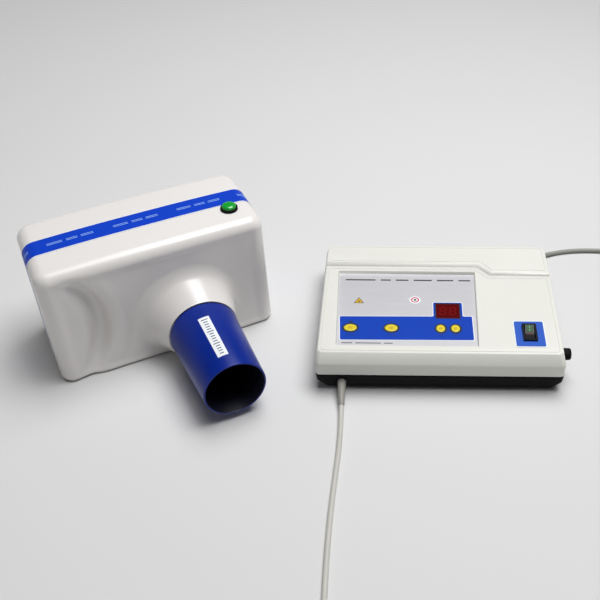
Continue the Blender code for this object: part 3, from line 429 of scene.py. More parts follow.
def loft(rings):
    """A closed shape through rings of equally many points."""
    shape = bmesh.new()
    rows = [[shape.verts.new(point) for point in ring] for ring in rings]
    count = len(rows[0])
    for low, high in zip(rows, rows[1:]):
        for index in range(count):
            after = (index + 1) % count
            shape.faces.new((low[index], low[after], high[after], high[index]))
    shape.faces.new(rows[0])
    shape.faces.new(rows[-1])
    return shape


def sweep(points, radii, sides=24):
    """A closed round bar along points, with a radius at each."""
    points = [Vector(point) for point in points]
    side = Vector((0, 0, 1))
    rings = []
    for index, point in enumerate(points):
        way = (points[min(index + 1, len(points) - 1)] - points[max(index - 1, 0)]).normalized()
        across = way.cross(side).normalized()
        lift = across.cross(way)
        rings.append([
            tuple(point + radii[index] * (across * math.cos(angle) + lift * math.sin(angle)))
            for angle in (math.tau * step / sides for step in range(sides))
        ])
    return loft(rings)


def rod(name, place, radius, length, sides=32):
    """A plain round cutter or pin that starts at place and runs along its Z."""
    half = [(0.0, length), (radius, length), (radius, 0.0), (0.0, 0.0)]
    return scene_object(name, moved(lathe(half, sides), place))


def smooth_route(route, spacing):
    """Points along a smooth curve through the route's own points."""
    knots = [Vector(point) for point in route]
    knots = [2 * knots[0] - knots[1], *knots, 2 * knots[-1] - knots[-2]]
    points = []
    for before, start, end, after in zip(knots, knots[1:], knots[2:], knots[3:]):
        count = max(1, round((end - start).length / spacing))
        for step in range(count):
            t = step / count
            points.append(0.5 * (
                2 * start + (end - before) * t
                + (2 * before - 5 * start + 4 * end - after) * t * t
                + (3 * start - before - 3 * end + after) * t ** 3
            ))
    return [*points, knots[-2]]


def curve_bar(name, points, radius, look, kind):
    """A round bar along points, kept as a curve."""
    curve = bpy.data.curves.new(name, "CURVE")
    curve.dimensions = "3D"
    curve.bevel_depth = radius
    curve.materials.append(LOOKS[look])
    spline = curve.splines.new(kind)
    spline.points.add(len(points) - 1)
    for point, place in zip(spline.points, points):
        point.co = (*place, 1.0)
    return linked(name, curve)


# ---------------------------------------------------------------- leads

LEAD_RELIEF = mm((-99.5, 4, 11.8), (-99.3, -6, 10.8), (-99, -16, 8.4), (-98.6, -26, 5.8))
LEAD_ROUTE = mm((-98.6, -26.3, 5.7), (-98.3, -36, 4), (-98, -48, 3), (-97.9, -62, 2.7),
                (-98, -76, 2.7), (-98.4, -91, 2.7), (-99.3, -110, 2.7), (-100.4, -135, 2.7),
                (-101.2, -165, 2.7), (-101.4, -200, 2.7), (-100.8, -235, 2.7),
                (-100.2, -260, 2.7), (-100, -276.5, 2.7))
MAINS_RELIEF = mm((111.5, 192, 11.8), (111.7, 200, 11.4), (113.2, 208.5, 10.2), (117, 216.5, 8.2))
MAINS_ROUTE = mm((117.4, 217.2, 8), (124, 224.5, 5.6), (132.5, 230.5, 3.6), (142, 235, 2.8),
                 (154, 238.8, 2.7), (166.6, 241.2, 2.7), (186.4, 242.7, 2.7), (203.4, 242.2, 2.7),
                 (216, 241.7, 2.7), (226.7, 241.5, 2.7))
COIL_MIDDLE = 0.0275
LEAD_COIL = (-0.0725, -0.305)
MAINS_COIL = (0.255, 0.214)
PLUG_REACH = 0.0288
LEAD_PLUG_Z, MAINS_PLUG_Z = 0.0073, 0.0067
TURN_GAP = 0.00508
LAYERS = ((3, 0), (2, 0), (1, 0), (0, 0), (0, 1), (0, 2), (1, 2), (1, 1), (2, 1), (3, 1))


def ease(value):
    value = min(max(value, 0.0), 1.0)
    return value * value * (3 - 2 * value)


def coil_points(middle, along, inward, plug_z):
    """Ten turns laid beside and over each other, with an easy way in and a way out to the plug."""
    along, inward = Vector(along), Vector(inward)
    centre = Vector((*middle, 0.0))
    floor_z = CORD / 2 + 0.0002
    outer = COIL_MIDDLE + 1.5 * TURN_GAP
    leave_z = floor_z + TURN_GAP

    def at(u, v, z):
        return centre + along * u + inward * (v - COIL_MIDDLE) + Vector((0, 0, z))

    points = []
    shift = outer - COIL_MIDDLE
    for step in range(1, 5):
        t = step / 5
        points.append(at(-0.0283 * (1 - t), -shift * ease(t), floor_z))
    steps = 18
    for turn, slot in enumerate(LAYERS):
        following = LAYERS[min(turn + 1, len(LAYERS) - 1)]
        for step in range(steps):
            part = ease((step / steps - 0.25) / 0.6)
            column = slot[0] + (following[0] - slot[0]) * part
            layer = slot[1] + (following[1] - slot[1]) * part
            radius = COIL_MIDDLE + (column - 1.5) * TURN_GAP
            angle = math.tau * step / steps
            points.append(at(radius * math.sin(angle), COIL_MIDDLE - radius * math.cos(angle),
                             floor_z + layer * TURN_GAP))
    for step in range(6):
        t = step / 5
        points.append(at(PLUG_REACH * t * 1.03, -shift * (1 - ease(t)),
                         leave_z + (plug_z - leave_z) * ease(t)))
    return points


def cord_curve(name, route, coil, along, inward, plug_z, look):
    """A lead in one piece, from its strain relief through its coil to its plug."""
    points = [*smooth_route(route, 0.012), *coil_points(coil, along, inward, plug_z)]
    points = [BOX @ point for point in points]
    item = curve_bar(name, points, CORD / 2, look, "NURBS")
    item.data.bevel_resolution = 5
    item.data.resolution_u = 3
    item.data.use_fill_caps = True
    item.data.splines[0].order_u = 4
    item.data.splines[0].use_endpoint_u = True
    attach(item, "control_box")
    length = sum((after - before).length for before, after in zip(points, points[1:]))
    return item, points[0], length


def relief(name, node, route, look):
    """A moulded strain relief: a tapered body with two grooves near its thin end."""
    points = smooth_route(route, 0.0008)
    thick, thin, groove, tip = 0.0044, 0.0031, 0.00025, 0.0004
    radii = []
    for index in range(len(points)):
        t = index / (len(points) - 1)
        radius = thick + (thin - thick) * ease(t)
        if t > 0.97:
            radius -= tip
        if 0.8 < t < 0.84 or 0.88 < t < 0.92:
            radius -= groove
        radii.append(radius)
    item = scene_object(name, moved(sweep(points, radii), BOX), 50)
    return finish_piece(item, look, "control_box", node, slot="cord_grey")


def contacts(name, body, place, height, radius, length, sides):
    """Four gold pins in a ring."""
    ring = 0.0028
    pins = []
    for number in range(4):
        angle = math.tau * (number + 0.5) / 4
        spot = place @ move_to(ring * math.cos(angle), ring * math.sin(angle), height)
        pins.append(finish_piece(rod(f"{name}_{number + 1}", spot, radius, length, sides),
                                 "contact_gold", body, slot="connector_metal"))
    return pins


def lead_plug():
    """The tube lead's round connector, with a knurled coupling ring and contact pins."""
    x, y = LEAD_COIL[0] - COIL_MIDDLE, LEAD_COIL[1] - PLUG_REACH
    place = BOX @ move_to(x, y, LEAD_PLUG_Z) @ TO_FRONT
    shell = mm((0, 0), (2.9, 0), (3.1, 3), (3.5, 10), (5.8, 11.2), (6.4, 12.2), (6.4, 18.2),
               (5, 18.4), (5, 30.2), (5.8, 30.4), (5.8, 43.6), (5.5, 44), (5, 44), (5, 37),
               (0, 37))
    ring = mm((5.1, 19), (7, 19), (7.2, 19.6), (7.2, 29), (7, 29.7), (5.1, 29.7))
    return [
        turned("lead_connector_body", shell, place, "connector_metal", "control_box",
               "tube_lead_plug", sides=48),
        turned("lead_connector_ring", ring, place, "connector_metal", "control_box", sides=96,
               angle=25, ring=True, ribs=48, rib_depth=0.00022),
        *contacts("lead_connector_pin", "control_box", place, 0.0368, 0.0005, 0.0055, 12),
    ]


def mains_plug():
    """A flat two-pin plug with rounded pins and a ribbed tail."""
    place = BOX @ move_to(MAINS_COIL[0] + PLUG_REACH, MAINS_COIL[1] + COIL_MIDDLE, MAINS_PLUG_Z)
    rings = []
    for along, half_y, half_z in mm((11, 5, 4), (15, 9, 5.8), (22, 12.3, 6.4), (37.5, 12.5, 6.5)):
        outline = corner_ring(half_y, -half_z, half_z, along, 0.003, 0.003, 6)
        rings.append([(x, y, z) for y, z, x in outline])
    body = round_edges(scene_object("mains_plug_body", moved(loft(rings), place)), 0.0006)
    steps = range(20)
    tail = sweep([(0.0001 + 0.0006 * step, 0, 0) for step in steps],
                 [0.0031 + 0.0013 * ease(step / 19) - 0.0003 * (step % 4 == 2) for step in steps])
    tail = scene_object("mains_plug_tail", moved(tail, place), 50)
    pieces = [finish_piece(body, "black_plastic", "control_box", "mains_plug"),
              finish_piece(tail, "black_plastic", "control_box")]
    pin = mm((0, 56.8), (1.2, 56.6), (1.8, 56), (2, 55.2), (2, 46.5), (1.8, 46.3), (1.8, 37.2),
             (0, 37.2))
    for side, offset in (("near", -0.0095), ("far", 0.0095)):
        spot = place @ move_to(0, offset, 0) @ TO_RIGHT
        pieces.append(turned(f"mains_plug_pin_{side}", pin, spot, "connector_metal",
                             "control_box", slot="black_plastic", sides=24))
    return pieces


def build_leads():
    lead_boot = relief("tube_lead_boot", "tube_lead_relief", LEAD_RELIEF, "relief_grey")
    mains_boot = relief("mains_lead_boot", "mains_relief", MAINS_RELIEF, "mains_grey")
    lead, start, length = cord_curve("tube_lead_cord", LEAD_ROUTE, LEAD_COIL, (0, -1, 0),
                                     (1, 0, 0), LEAD_PLUG_Z, "cord_grey")
    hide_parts("tube_lead", "tube_lead_coil")
    lead_plug()
    mains, start, length = cord_curve("mains_lead_cord", MAINS_ROUTE, MAINS_COIL, (1, 0, 0),
                                      (0, -1, 0), MAINS_PLUG_Z, "mains_grey")
    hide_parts("mains_lead", "mains_lead_coil")
    mains_plug()


# ---------------------------------------------------------------- tube head

def round_union(first, second, radius):
    reach = np.hypot(np.maximum(radius - first, 0), np.maximum(radius - second, 0))
    return np.maximum(radius, np.minimum(first, second)) - reach


def round_overlap(first, second, radius):
    reach = np.hypot(np.maximum(radius + first, 0), np.maximum(radius + second, 0))
    return np.minimum(-radius, np.maximum(first, second)) + reach


def step_up(values, low, high):
    part = np.clip((values - low) / (high - low), 0, 1)
    return part * part * (3 - 2 * part)


def grip_valley(x, z):
    """Depth of the finger grip on the left of the front face: an upright crescent."""
    depth, ridge_height = 0.0125, 0.0016
    right_width, left_width, ridge_width, ridge_away = 0.013, 0.019, 0.011, 0.021
    deepest = -0.065 - (z - 0.066) ** 2 / 0.19
    aside = x - deepest
    right = np.cos(np.clip(aside / right_width, 0, 1) * math.pi / 2) ** 2
    left = np.cos(np.clip(-aside / left_width, 0, 1) * math.pi / 2) ** 2
    ridge = np.cos(np.clip((aside - ridge_away) / ridge_width, -1, 1) * math.pi / 2) ** 2
    length = step_up(z, -0.01, 0.044) * (1 - step_up(z, 0.094, 0.132))
    return (depth * np.where(aside > 0, right, left) - ridge_height * ridge) * length


def head_distance(points):
    """Distance to the head's outer surface: a crowned round-edged block and a flared neck."""
    x, y, z = points.T
    along = np.clip(np.abs(x) / HALF_LENGTH, 0, 1.3)
    upper = np.clip(z / HEAD_HEIGHT, 0, 1.2)
    sag = CROWN * along ** 2.5 + CROSS_CROWN * np.clip(y / HALF_DEPTH, -1.2, 1.2) ** 2
    z_flat = z + upper * sag
    y_flat = y * (1 + BOW / HALF_DEPTH * along ** 2)
    side_x = np.abs(x) - HALF_LENGTH + SIDE_ROUND
    side_y = np.abs(y_flat) - HALF_DEPTH + SIDE_ROUND
    plan = np.hypot(np.maximum(side_x, 0), np.maximum(side_y, 0))
    plan += np.minimum(np.maximum(side_x, side_y), 0) - SIDE_ROUND
    block = round_overlap(plan, z_flat - HEAD_HEIGHT, TOP_ROUND)
    block = round_overlap(block, -z, FOOT_ROUND)
    # The front face is dished inside a rim, and carries the finger grip
    front = step_up(-y, 0.025, 0.045)
    rim, dish_depth = 0.011, 0.0022
    inset = np.minimum(HALF_LENGTH - 0.01 - np.abs(x), np.minimum(HEAD_HEIGHT - rim - z, z))
    dish = dish_depth * step_up(inset, 0.0, rim)
    block = block + (grip_valley(x, z) + dish) * front
    # The neck widens, and its axis shifts, toward the face it grows out of
    share = np.clip(1 - (-y - NECK_FOOT) / (NECK_END - NECK_FOOT), 0, 1)
    from_axis = np.hypot(x - CONE_X - NECK_ASIDE * share, z - CONE_Z - NECK_ABOVE * share)
    from_axis = from_axis - NECK_RADIUS - NECK_SWELL * share
    neck = np.maximum(from_axis, np.maximum(-NECK_END - NECK_SPARE - y, y + NECK_ROOT))
    both = round_union(block, neck, FLARE)
    return round_overlap(both, 0.0002 - z, 0.0015)


def settle(points, offset=0.0, rounds=10):
    """Moves points onto the head's surface, or to a small distance outside it."""
    tiny = 1e-5
    steps = np.eye(3) * tiny
    for _ in range(rounds):
        value = head_distance(points) - offset
        slope = np.stack([
            (head_distance(points + step) - head_distance(points - step)) / (2 * tiny)
            for step in steps], axis=1)
        size = np.maximum((slope ** 2).sum(axis=1), 0.2)
        points = points - (value / size)[:, None] * slope
    return points


def remeshed(item, voxel):
    change = item.modifiers.new("voxels", "REMESH")
    change.mode = "VOXEL"
    change.voxel_size = voxel
    baked(item)
    edges = np.empty(len(item.data.edges) * 2, np.int32)
    item.data.edges.foreach_get("vertices", edges)
    first, second = edges.reshape(-1, 2).T
    count = len(item.data.vertices)
    neighbours = np.bincount(edges, minlength=count)[:, None]
    points = np.empty(count * 3, np.float32)
    item.data.vertices.foreach_get("co", points)
    points = settle(points.reshape(-1, 3).astype(float))
    for _ in range(4):
        total = np.zeros((count, 3))
        np.add.at(total, first, points[second])
        np.add.at(total, second, points[first])
        points = settle(0.4 * points + 0.6 * total / neighbours, rounds=4)
    item.data.vertices.foreach_set("co", points.astype(np.float32).ravel())
    item.data.update()
    return item


def head_surface():
    shape = bmesh.new()
    made = bmesh.ops.create_cube(shape, size=1.0)
    size = Matrix.Diagonal((2 * HALF_LENGTH, 2 * HALF_DEPTH, HEAD_HEIGHT, 1.0))
    bmesh.ops.transform(shape, verts=made["verts"],
                        matrix=move_to(0, 0, HEAD_HEIGHT / 2) @ size)
    long = NECK_END + NECK_SPARE - NECK_ROOT
    made = bmesh.ops.create_cone(shape, cap_ends=True, segments=64, depth=long,
                                 radius1=NECK_RADIUS, radius2=NECK_RADIUS)
    bmesh.ops.transform(shape, verts=made["verts"],
                        matrix=move_to(CONE_X, -NECK_ROOT - long / 2, CONE_Z) @ TO_FRONT)
    item = scene_object("head_surface", shape)
    remeshed(item, 0.0035)
    return remeshed(item, 0.0016)


def split_shell(surface, name, cuts):
    """A walled shell from the part of the head's surface behind each cutting plane."""
    shape = bmesh.new()
    shape.from_mesh(surface.data)
    for place, way in cuts:
        bmesh.ops.bisect_plane(shape, geom=[*shape.verts, *shape.edges, *shape.faces],
                               plane_co=place, plane_no=way, clear_outer=True, dist=1e-6)
    item = scene_object(name, shape, 60)
    wall = item.modifiers.new("wall", "SOLIDIFY")
    wall.thickness = SHELL_WALL
    wall.offset = -1.0
    wall.use_even_offset = True
    return baked(item)


def on_back(node, outward):
    """A frame at a node's middle, at a distance out from the head's back face, facing out."""
    spot = middle(node, HEAD)
    return move_to(spot.x, HALF_DEPTH + outward, spot.z) @ TO_BACK


def build_shells():
    surface = head_surface()
    front = split_shell(surface, "front_housing", (
        ((0, PARTING_Y - 0.0003, 0), (0, 1, 0)), ((0, -NECK_END, 0), (0, -1, 0))))
    rear = split_shell(surface, "rear_housing", (((0, PARTING_Y, 0), (0, -1, 0)),))
    bpy.data.objects.remove(surface)
    button = middle("exposure_button", HEAD)
    button.z = HEAD_HEIGHT - 0.012
    cut(front, rod("button_hole", move_to(*button), 0.0081, 0.03, 48))
    cut(rear, rod("inlet_hole", on_back("lead_inlet", -0.012), 0.0073, 0.03, 48))
    well = mm((3.6, 19), (5, 19), (5, 8.5), (1.5, 8.5), (1.5, 9.7), (3.6, 9.7))
    for number in range(1, 5):
        spot = on_back(f"shell_screw_{number}", -0.02)
        cut(rear, rod("screw_hole", spot, 0.0036, 0.03, 32))
        turned(f"screw_well_{number}", well, HEAD @ spot, "warm_white", "tube_head", sides=32,
               ring=True)
        screw_head(f"housing_screw_{number}", HEAD @ spot @ move_to(0, 0, 0.01),
                   "tube_head", f"shell_screw_{number}")
    for item, node in ((front, "front_shell"), (rear, "rear_shell")):
        shade(item, HEAD, 40)
        finish_piece(item, "warm_white", "tube_head", node)


def screw_head(name, place, body, node):
    """A domed head with a cross recess, on a short shank."""
    item = scene_object(name, lathe(mm((0, 2.5), (1.4, 2.4), (2.6, 1.8), (3.1, 0.8), (3.1, 0),
                                       (1.4, 0), (1.4, -6), (0, -6)), 40))
    for turn in (0, 90):
        cut(item, flat("slot", [rectangle(0, 0, 0.0018, 0.00035)], 0.0011, 0.004,
                       Matrix.Rotation(math.radians(turn), 4, "Z")))
    item.data.transform(place)
    finish_piece(item, "steel", body, node)


def band_path():
    """Evenly spaced (x, z) points up the left side, across the top and down the right side."""
    radius, low = 0.0155, 0.015
    across, high = HALF_LENGTH - 0.014, HEAD_HEIGHT - 0.014
    path = [Vector((-across - radius, low))]
    for centre_x, start in ((-across, 180), (across, 90)):
        for step in range(13):
            angle = math.radians(start - 90 * step / 12)
            path.append(Vector((centre_x + radius * math.cos(angle),
                                high + radius * math.sin(angle))))
    path.append(Vector((across + radius, low)))
    reach = [0.0]
    for before, after in zip(path, path[1:]):
        reach.append(reach[-1] + (after - before).length)
    return np.array(reach), np.array([tuple(point) for point in path])


def strip(shape, reach, path, start, end, near, far, offset, step=0.0015):
    """Adds a thin film on the head's surface, from start to end along the band's path."""
    rows = max(2, round((end - start) / step) + 1)
    columns = max(2, round((far - near) / 0.003) + 1)
    along = np.repeat(np.linspace(start, end, rows), columns)
    across = np.tile(np.linspace(near, far, columns), rows)
    spots = np.stack([np.interp(along, reach, path[:, 0]), across,
                      np.interp(along, reach, path[:, 1])], axis=1)
    grids = []
    for height in (offset, offset - 0.0006):
        grids.append([shape.verts.new(tuple(spot)) for spot in settle(spots, height)])
    faces = []
    for row in range(rows - 1):
        for column in range(columns - 1):
            here = row * columns + column
            corners = (here, here + 1, here + columns + 1, here + columns)
            faces.append([grids[0][corner] for corner in corners])
            faces.append([grids[1][corner] for corner in reversed(corners)])
    rim = [column for column in range(columns)]
    rim += [row * columns + columns - 1 for row in range(1, rows)]
    rim += [(rows - 1) * columns + column for column in range(columns - 2, -1, -1)]
    rim += [row * columns for row in range(rows - 2, 0, -1)]
    for here, after in zip(rim, rim[1:] + rim[:1]):
        faces.append([grids[0][here], grids[0][after], grids[1][after], grids[1][here]])
    for face in faces:
        shape.faces.new(face)


def build_band():
    low, high = node_box("trim_band", HEAD)
    near, far = low.y, high.y
    reach, path = band_path()
    end = reach[-1]
    edge, border, thin = 0.0004, 0.0009, 0.00035
    band, edges, dashes = bmesh.new(), bmesh.new(), bmesh.new()
    strip(band, reach, path, 0.0, end, near + edge, far - edge, 0.00035)
    strip(edges, reach, path, 0.0, end, near, near + border, 0.0005)
    strip(edges, reach, path, 0.0, end, far - border, far, 0.0005)
    group, words = 0.066, mm((0, 15), (19, 11), (33.5, 12.5))
    start = 0.012
    while start + group < end:
        for shift, length in words:
            for row in (-0.0011, 0.0011):
                y = (near + far) / 2 + row
                strip(dashes, reach, path, start + shift, start + shift + length,
                      y - thin, y + thin, 0.00052, 0.002)
        start += group
    finish_piece(scene_object("blue_band", moved(band, HEAD)), "band_blue", "tube_head",
                 "trim_band")
    for name, shape, look in (("edges", edges, "white_print"), ("dashes", dashes, "light_print")):
        finish_piece(scene_object(f"band_{name}", moved(shape, HEAD)), look, "tube_head",
                     slot="label_white")


def cone_radius(along):
    """The tapered tube's outer radius at a distance along its axis."""
    share = min(max((along - NECK_END) / (CONE_END - NECK_END), 0.0), 1.0)
    return CONE_BASE_RADIUS + (CONE_RADIUS - CONE_BASE_RADIUS) * share


def cone_patch(shape, start, end, near, far, low, high):
    """Adds a thin curved plate on the cone, between two angles in degrees from its right side."""
    steps = 12
    rings = []
    for y in (near, far):
        ring = []
        for height, order in ((high, range(steps + 1)), (low, range(steps, -1, -1))):
            radius = cone_radius(y) + height
            for step in order:
                angle = math.radians(start + (end - start) * step / steps)
                ring.append((CONE_X + radius * math.cos(angle), -y,
                             CONE_Z + radius * math.sin(angle)))
        rings.append(ring)
    rows = [[shape.verts.new(point) for point in ring] for ring in rings]
    count = len(rows[0])
    for index in range(count):
        after = (index + 1) % count
        shape.faces.new((rows[0][index], rows[0][after], rows[1][after], rows[1][index]))
    for row in rows:
        for step in range(steps):
            shape.faces.new((row[step], row[step + 1], row[-2 - step], row[-1 - step]))


def build_cone():
    place = HEAD @ move_to(CONE_X, 0, CONE_Z) @ TO_FRONT
    wall, lip = 0.002, 0.0007
    seat = NECK_END + 0.0003
    inner = CONE_RADIUS - wall
    spigot = 0.0282
    mouth = [(CONE_RADIUS - lip * (1 - math.sin(math.radians(angle))),
              CONE_END - lip * (1 - math.cos(math.radians(angle)))) for angle in (0, 30, 60, 90)]
    base = CONE_BASE_RADIUS
    profile = [*mouth, (base, seat + 0.0008), (base - 0.0006, seat), (spigot, seat),
               (spigot, SPIGOT_END), (spigot - wall, SPIGOT_END), (spigot - wall, seat),
               (base - wall, seat + 0.004), (inner, CONE_END - 0.0008),
               (inner + 0.0005, CONE_END)]
    cone = turned("aiming_tube", profile, place, "cone_blue", "tube_head", "aiming_cone",
                  sides=128, ring=True)
    # The faces inside the tube take the near-black painted shade
    cone.data.materials.append(LOOKS["cone_inside_shade"])
    back = place.inverted()
    for face in cone.data.polygons:
        spot = back @ face.center
        if math.hypot(spot.x, spot.y) < cone_radius(spot.z) - wall * 0.8:
            face.material_index = 1
    low, high = node_box("cone_label", HEAD)
    start, end = 85.4, 104.2
    label, ticks = bmesh.new(), bmesh.new()
    cone_patch(label, start, end, -high.y + 0.0015, -low.y, -0.0003, 0.0002)
    count, half = 15, 0.00055
    for number in range(count):
        y = -high.y + 0.0055 + (high.y - low.y - 0.0095) * number / (count - 1)
        long = 3.6 if number % 5 else 5.6
        centre = (start + end) / 2
        cone_patch(ticks, centre - long, centre + long, y - half, y + half, 0.00005, 0.00028)
    finish_piece(scene_object("cone_sticker", moved(label, HEAD)), "white_print", "tube_head",
                 "cone_label", slot="label_white")
    finish_piece(scene_object("cone_sticker_ticks", moved(ticks, HEAD)), "dark_print",
                 "tube_head", slot="label_white")


def build_button():
    spot = middle("button_bezel", HEAD)
    place = HEAD @ move_to(spot.x, spot.y, HEAD_HEIGHT)
    bezel = mm((7.7, 1.5), (8, 1.8), (8.7, 1.6), (9, 1), (9, -1.4), (7.9, -1.4), (7.9, -9.5),
               (3.3, -9.5), (3.3, -3.5), (7.6, -3.5))
    turned("button_surround", bezel, place, "black_plastic", "tube_head", "button_bezel",
           ring=True)
    cap = mm((0, 5), (3, 4.9), (5.2, 4.6), (6.5, 4), (7.2, 3.2), (7.4, 2.2), (7.4, 0.6),
             (5.7, 0.6), (5.7, 2.6), (4, 2.6), (4, 0.6), (2.8, 0.6), (2.8, -10), (0, -10))
    turned("green_button", cap, place, "button_green", "exposure_button", "exposure_button")


def build_inlet():
    place = HEAD @ on_back("lead_inlet", 0.0)
    shell = mm((0, -10), (5.4, -10), (5.4, 2), (5.8, 2.4), (8.2, 2.4), (8.8, 1.8), (8.8, -2),
               (7, -2), (7, -15), (0, -15))
    turned("inlet_shell", shell, place, "connector_metal", "tube_head", "lead_inlet")
    turned("inlet_insert", mm((0, -8.5), (5, -8.5), (5.3, -9.9), (0, -9.9)), place,
           "dark_plastic", "tube_head", slot="connector_metal", sides=40)
    contacts("inlet_contact", "tube_head", place, -0.0088, 0.0007, 0.001, 16)


# ---------------------------------------------------------------- control box

def groove_tool():
    """The valley between the rear strip and the front plate, with a fine slit along its bottom."""
    above, slit, slit_depth = 0.001, 0.00045, 0.0012
    reach = GROOVE_HALF * (1 + above / GROOVE_DEPTH)
    rings = []
    for index, spot in enumerate(GROOVE):
        here = Vector(spot)
        ways = []
        if index:
            ways.append((here - Vector(GROOVE[index - 1])).normalized())
        if index + 1 < len(GROOVE):
            ways.append((Vector(GROOVE[index + 1]) - here).normalized())
        way = sum(ways, Vector((0, 0))).normalized()
        across = Vector((-way.y, way.x))
        stretch = 1 / max(across.dot(Vector((-ways[0].y, ways[0].x))), 0.5)
        profile = ((-reach, TOP_Z + above), (-slit, TOP_Z - GROOVE_DEPTH),
                   (-slit, TOP_Z - GROOVE_DEPTH - slit_depth),
                   (slit, TOP_Z - GROOVE_DEPTH - slit_depth), (slit, TOP_Z - GROOVE_DEPTH),
                   (reach, TOP_Z + above))
        rings.append([(*(here + across * aside * stretch), z) for aside, z in profile])
    return scene_object("groove_tool", loft(rings))


def plate_outline(front):
    """The raised line around the front plate or the rear strip, inset from their edges."""
    side, away = BOX_WIDTH / 2 + SIDE_GROW - TOP_INSET - 0.0035, GROOVE_HALF + 0.0017
    end, step, way = BOX_DEPTH - TOP_BACK - 0.003, 0.0034, 1
    if front:
        end, step, way = TOP_FRONT + 0.003, -0.0034, -1
    left_y, right_y = GROOVE[1][1] + way * away, GROOVE[2][1] + way * away
    return [(-side, left_y), (GROOVE[1][0] + step, left_y), (GROOVE[2][0] + step, right_y),
            (side, right_y), (side, end), (-side, end)]


def box_rings(rows, corners=(0.005, 0.009)):
    """Rings around the box, from rows of side inset, front inset, back inset and height."""
    half = BOX_WIDTH / 2 + SIDE_GROW
    return [corner_ring(half - side, front, BOX_DEPTH - back, z, *corners)
            for side, front, back, z in rows]


def build_cover():
    rings = box_rings(((0.0, 0.0018, 0.0, SEAM_Z), (0.0004, 0.0, 0.001, CREASE_Z),
                       (TOP_INSET, TOP_FRONT, TOP_BACK, TOP_Z)))
    cover = round_edges(scene_object("cover", loft(rings)), 0.0009, 3, 20)
    cut(cover, groove_tool())
    outline = rounded(PANEL_CORNERS, 0.0012, 3)
    centre = Vector((-0.034, 0.078))
    recess = []
    for height, grow in ((PANEL_Z - 0.0008, 0.0), (TOP_Z - 0.0006, 0.0), (TOP_Z + 0.0006, 0.0012)):
        recess.append([(x + math.copysign(grow, x - centre.x),
                        y + math.copysign(grow, y - centre.y), height) for x, y in outline])
    cut(cover, scene_object("recess_tool", loft(recess)))
    wall = 0.0028
    hollow = box_rings(((wall, wall + 0.002, wall, SEAM_Z - 0.001),
                        (wall + 0.001, wall + 0.001, wall + 0.001, CREASE_Z - 0.001),
                        (wall + 0.003, wall + 0.004, wall + 0.007, PANEL_Z - 0.003)),
                       INNER_CORNERS)
    cut(cover, scene_object("hollow_tool", loft(hollow)))
    window, rocker = middle("display_window", BOX), middle("rocker_housing", BOX)
    gap = 0.0012
    openings = [ellipse(x, y, half_x + gap, half_y + gap)
                for x, y, half_x, half_y in map(key_size, KEYS)]
    openings += [rectangle(window.x, window.y, 0.0125, 0.01175),
                 rectangle(rocker.x, rocker.y, *ROCKER_HOLE)]
    for opening in openings:
        cut(cover, flat("opening_tool", [opening], *THROUGH_TOP, Matrix.Identity(4)))
    fuse = middle("fuse_cap", BOX)
    fuse.x = 0.112
    cut(cover, rod("fuse_tool", move_to(*fuse) @ TO_RIGHT, 0.0059, 0.03))
    shade(cover, BOX, 28)
    finish_piece(cover, "ivory_plastic", "control_box", "top_cover")
    for name, front in (("front_plate_line", True), ("rear_strip_line", False)):
        line = [BOX @ Vector((x, y, TOP_Z + 0.00002))
                for x, y in rounded(plate_outline(front), 0.0045, 8)]
        item = curve_bar(name, line, 0.00042, "ivory_plastic", "POLY")
        item.data.bevel_resolution = 2
        item.data.splines[0].use_cyclic_u = True
        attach(item, "control_box")


def key_size(name):
    """(x, y, half width, half depth) of a key's cap, in the box's axes."""
    low, high = node_box(name, BOX)
    half_y = (high.y - low.y) / 2 - KEY_SKIRT
    scale = (high.x - low.x) / (high.y - low.y)
    return (low.x + high.x) / 2, (low.y + high.y) / 2, half_y * scale, half_y


def build_base():
    top, knee = SEAM_Z - 0.0003, 0.0125
    rings = box_rings(((0.001, 0.0026, 0.0026, top), (0.0002, 0.0018, 0.0018, top - 0.0008),
                       (0.0008, 0.002, 0.002, knee), (0.009, 0.0042, 0.0042, BASE_LOW)))
    base = round_edges(scene_object("base", loft(rings)), 0.001, 3, 20)
    rings = box_rings(((0.003, 0.003, 0.003, top + 0.001), (0.0037, 0.0036, 0.0036, knee),
                       (0.0112, 0.0062, 0.0062, BASE_LOW + 0.0023)), INNER_CORNERS)
    cut(base, scene_object("base_hollow", loft(rings)))
    for x, y, turn in ((LEAD_RELIEF[0][0], 0.012, TO_FRONT),
                       (MAINS_RELIEF[0][0], BOX_DEPTH - 0.012, TO_BACK)):
        cut(base, rod("exit_tool", move_to(x, y, 0.0118) @ turn, 0.0047, 0.024))
    for number in range(1, 5):
        spot = middle(f"base_screw_{number}", BOX)
        hole, seat = [move_to(spot.x, spot.y, z) for z in (-0.001, 0.003)]
        cut(base, rod("screw_tool", hole, 0.0021, 0.012))
        screw_head(f"pan_screw_{number}", BOX @ seat @ Matrix.Rotation(math.pi, 4, "X"),
                   "control_box", f"base_screw_{number}")
    for number in range(9):
        vent = pad(-0.04 + 0.01 * number, 0.098, 0.0015, 0.016, 0.0014, 4)
        cut(base, flat("vent_tool", [vent], BASE_LOW - 0.002, BASE_LOW + 0.004,
                       Matrix.Identity(4)))
    shade(base, BOX, 28)
    finish_piece(base, "black_plastic", "control_box", "base_pan")
    foot = mm((0, 3), (6.2, 3), (6.1, 2.2), (5.6, 0.4), (5.2, 0), (3, 0), (2.6, 0.5), (0, 0.5))
    for node in ("foot_front_left", "foot_front_right", "foot_back_left", "foot_back_right"):
        low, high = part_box(node)
        place = move_to((low.x + high.x) / 2, (low.y + high.y) / 2, 0.0)
        turned(f"rubber_{node}", foot, place, "rubber", "control_box", node, sides=40)


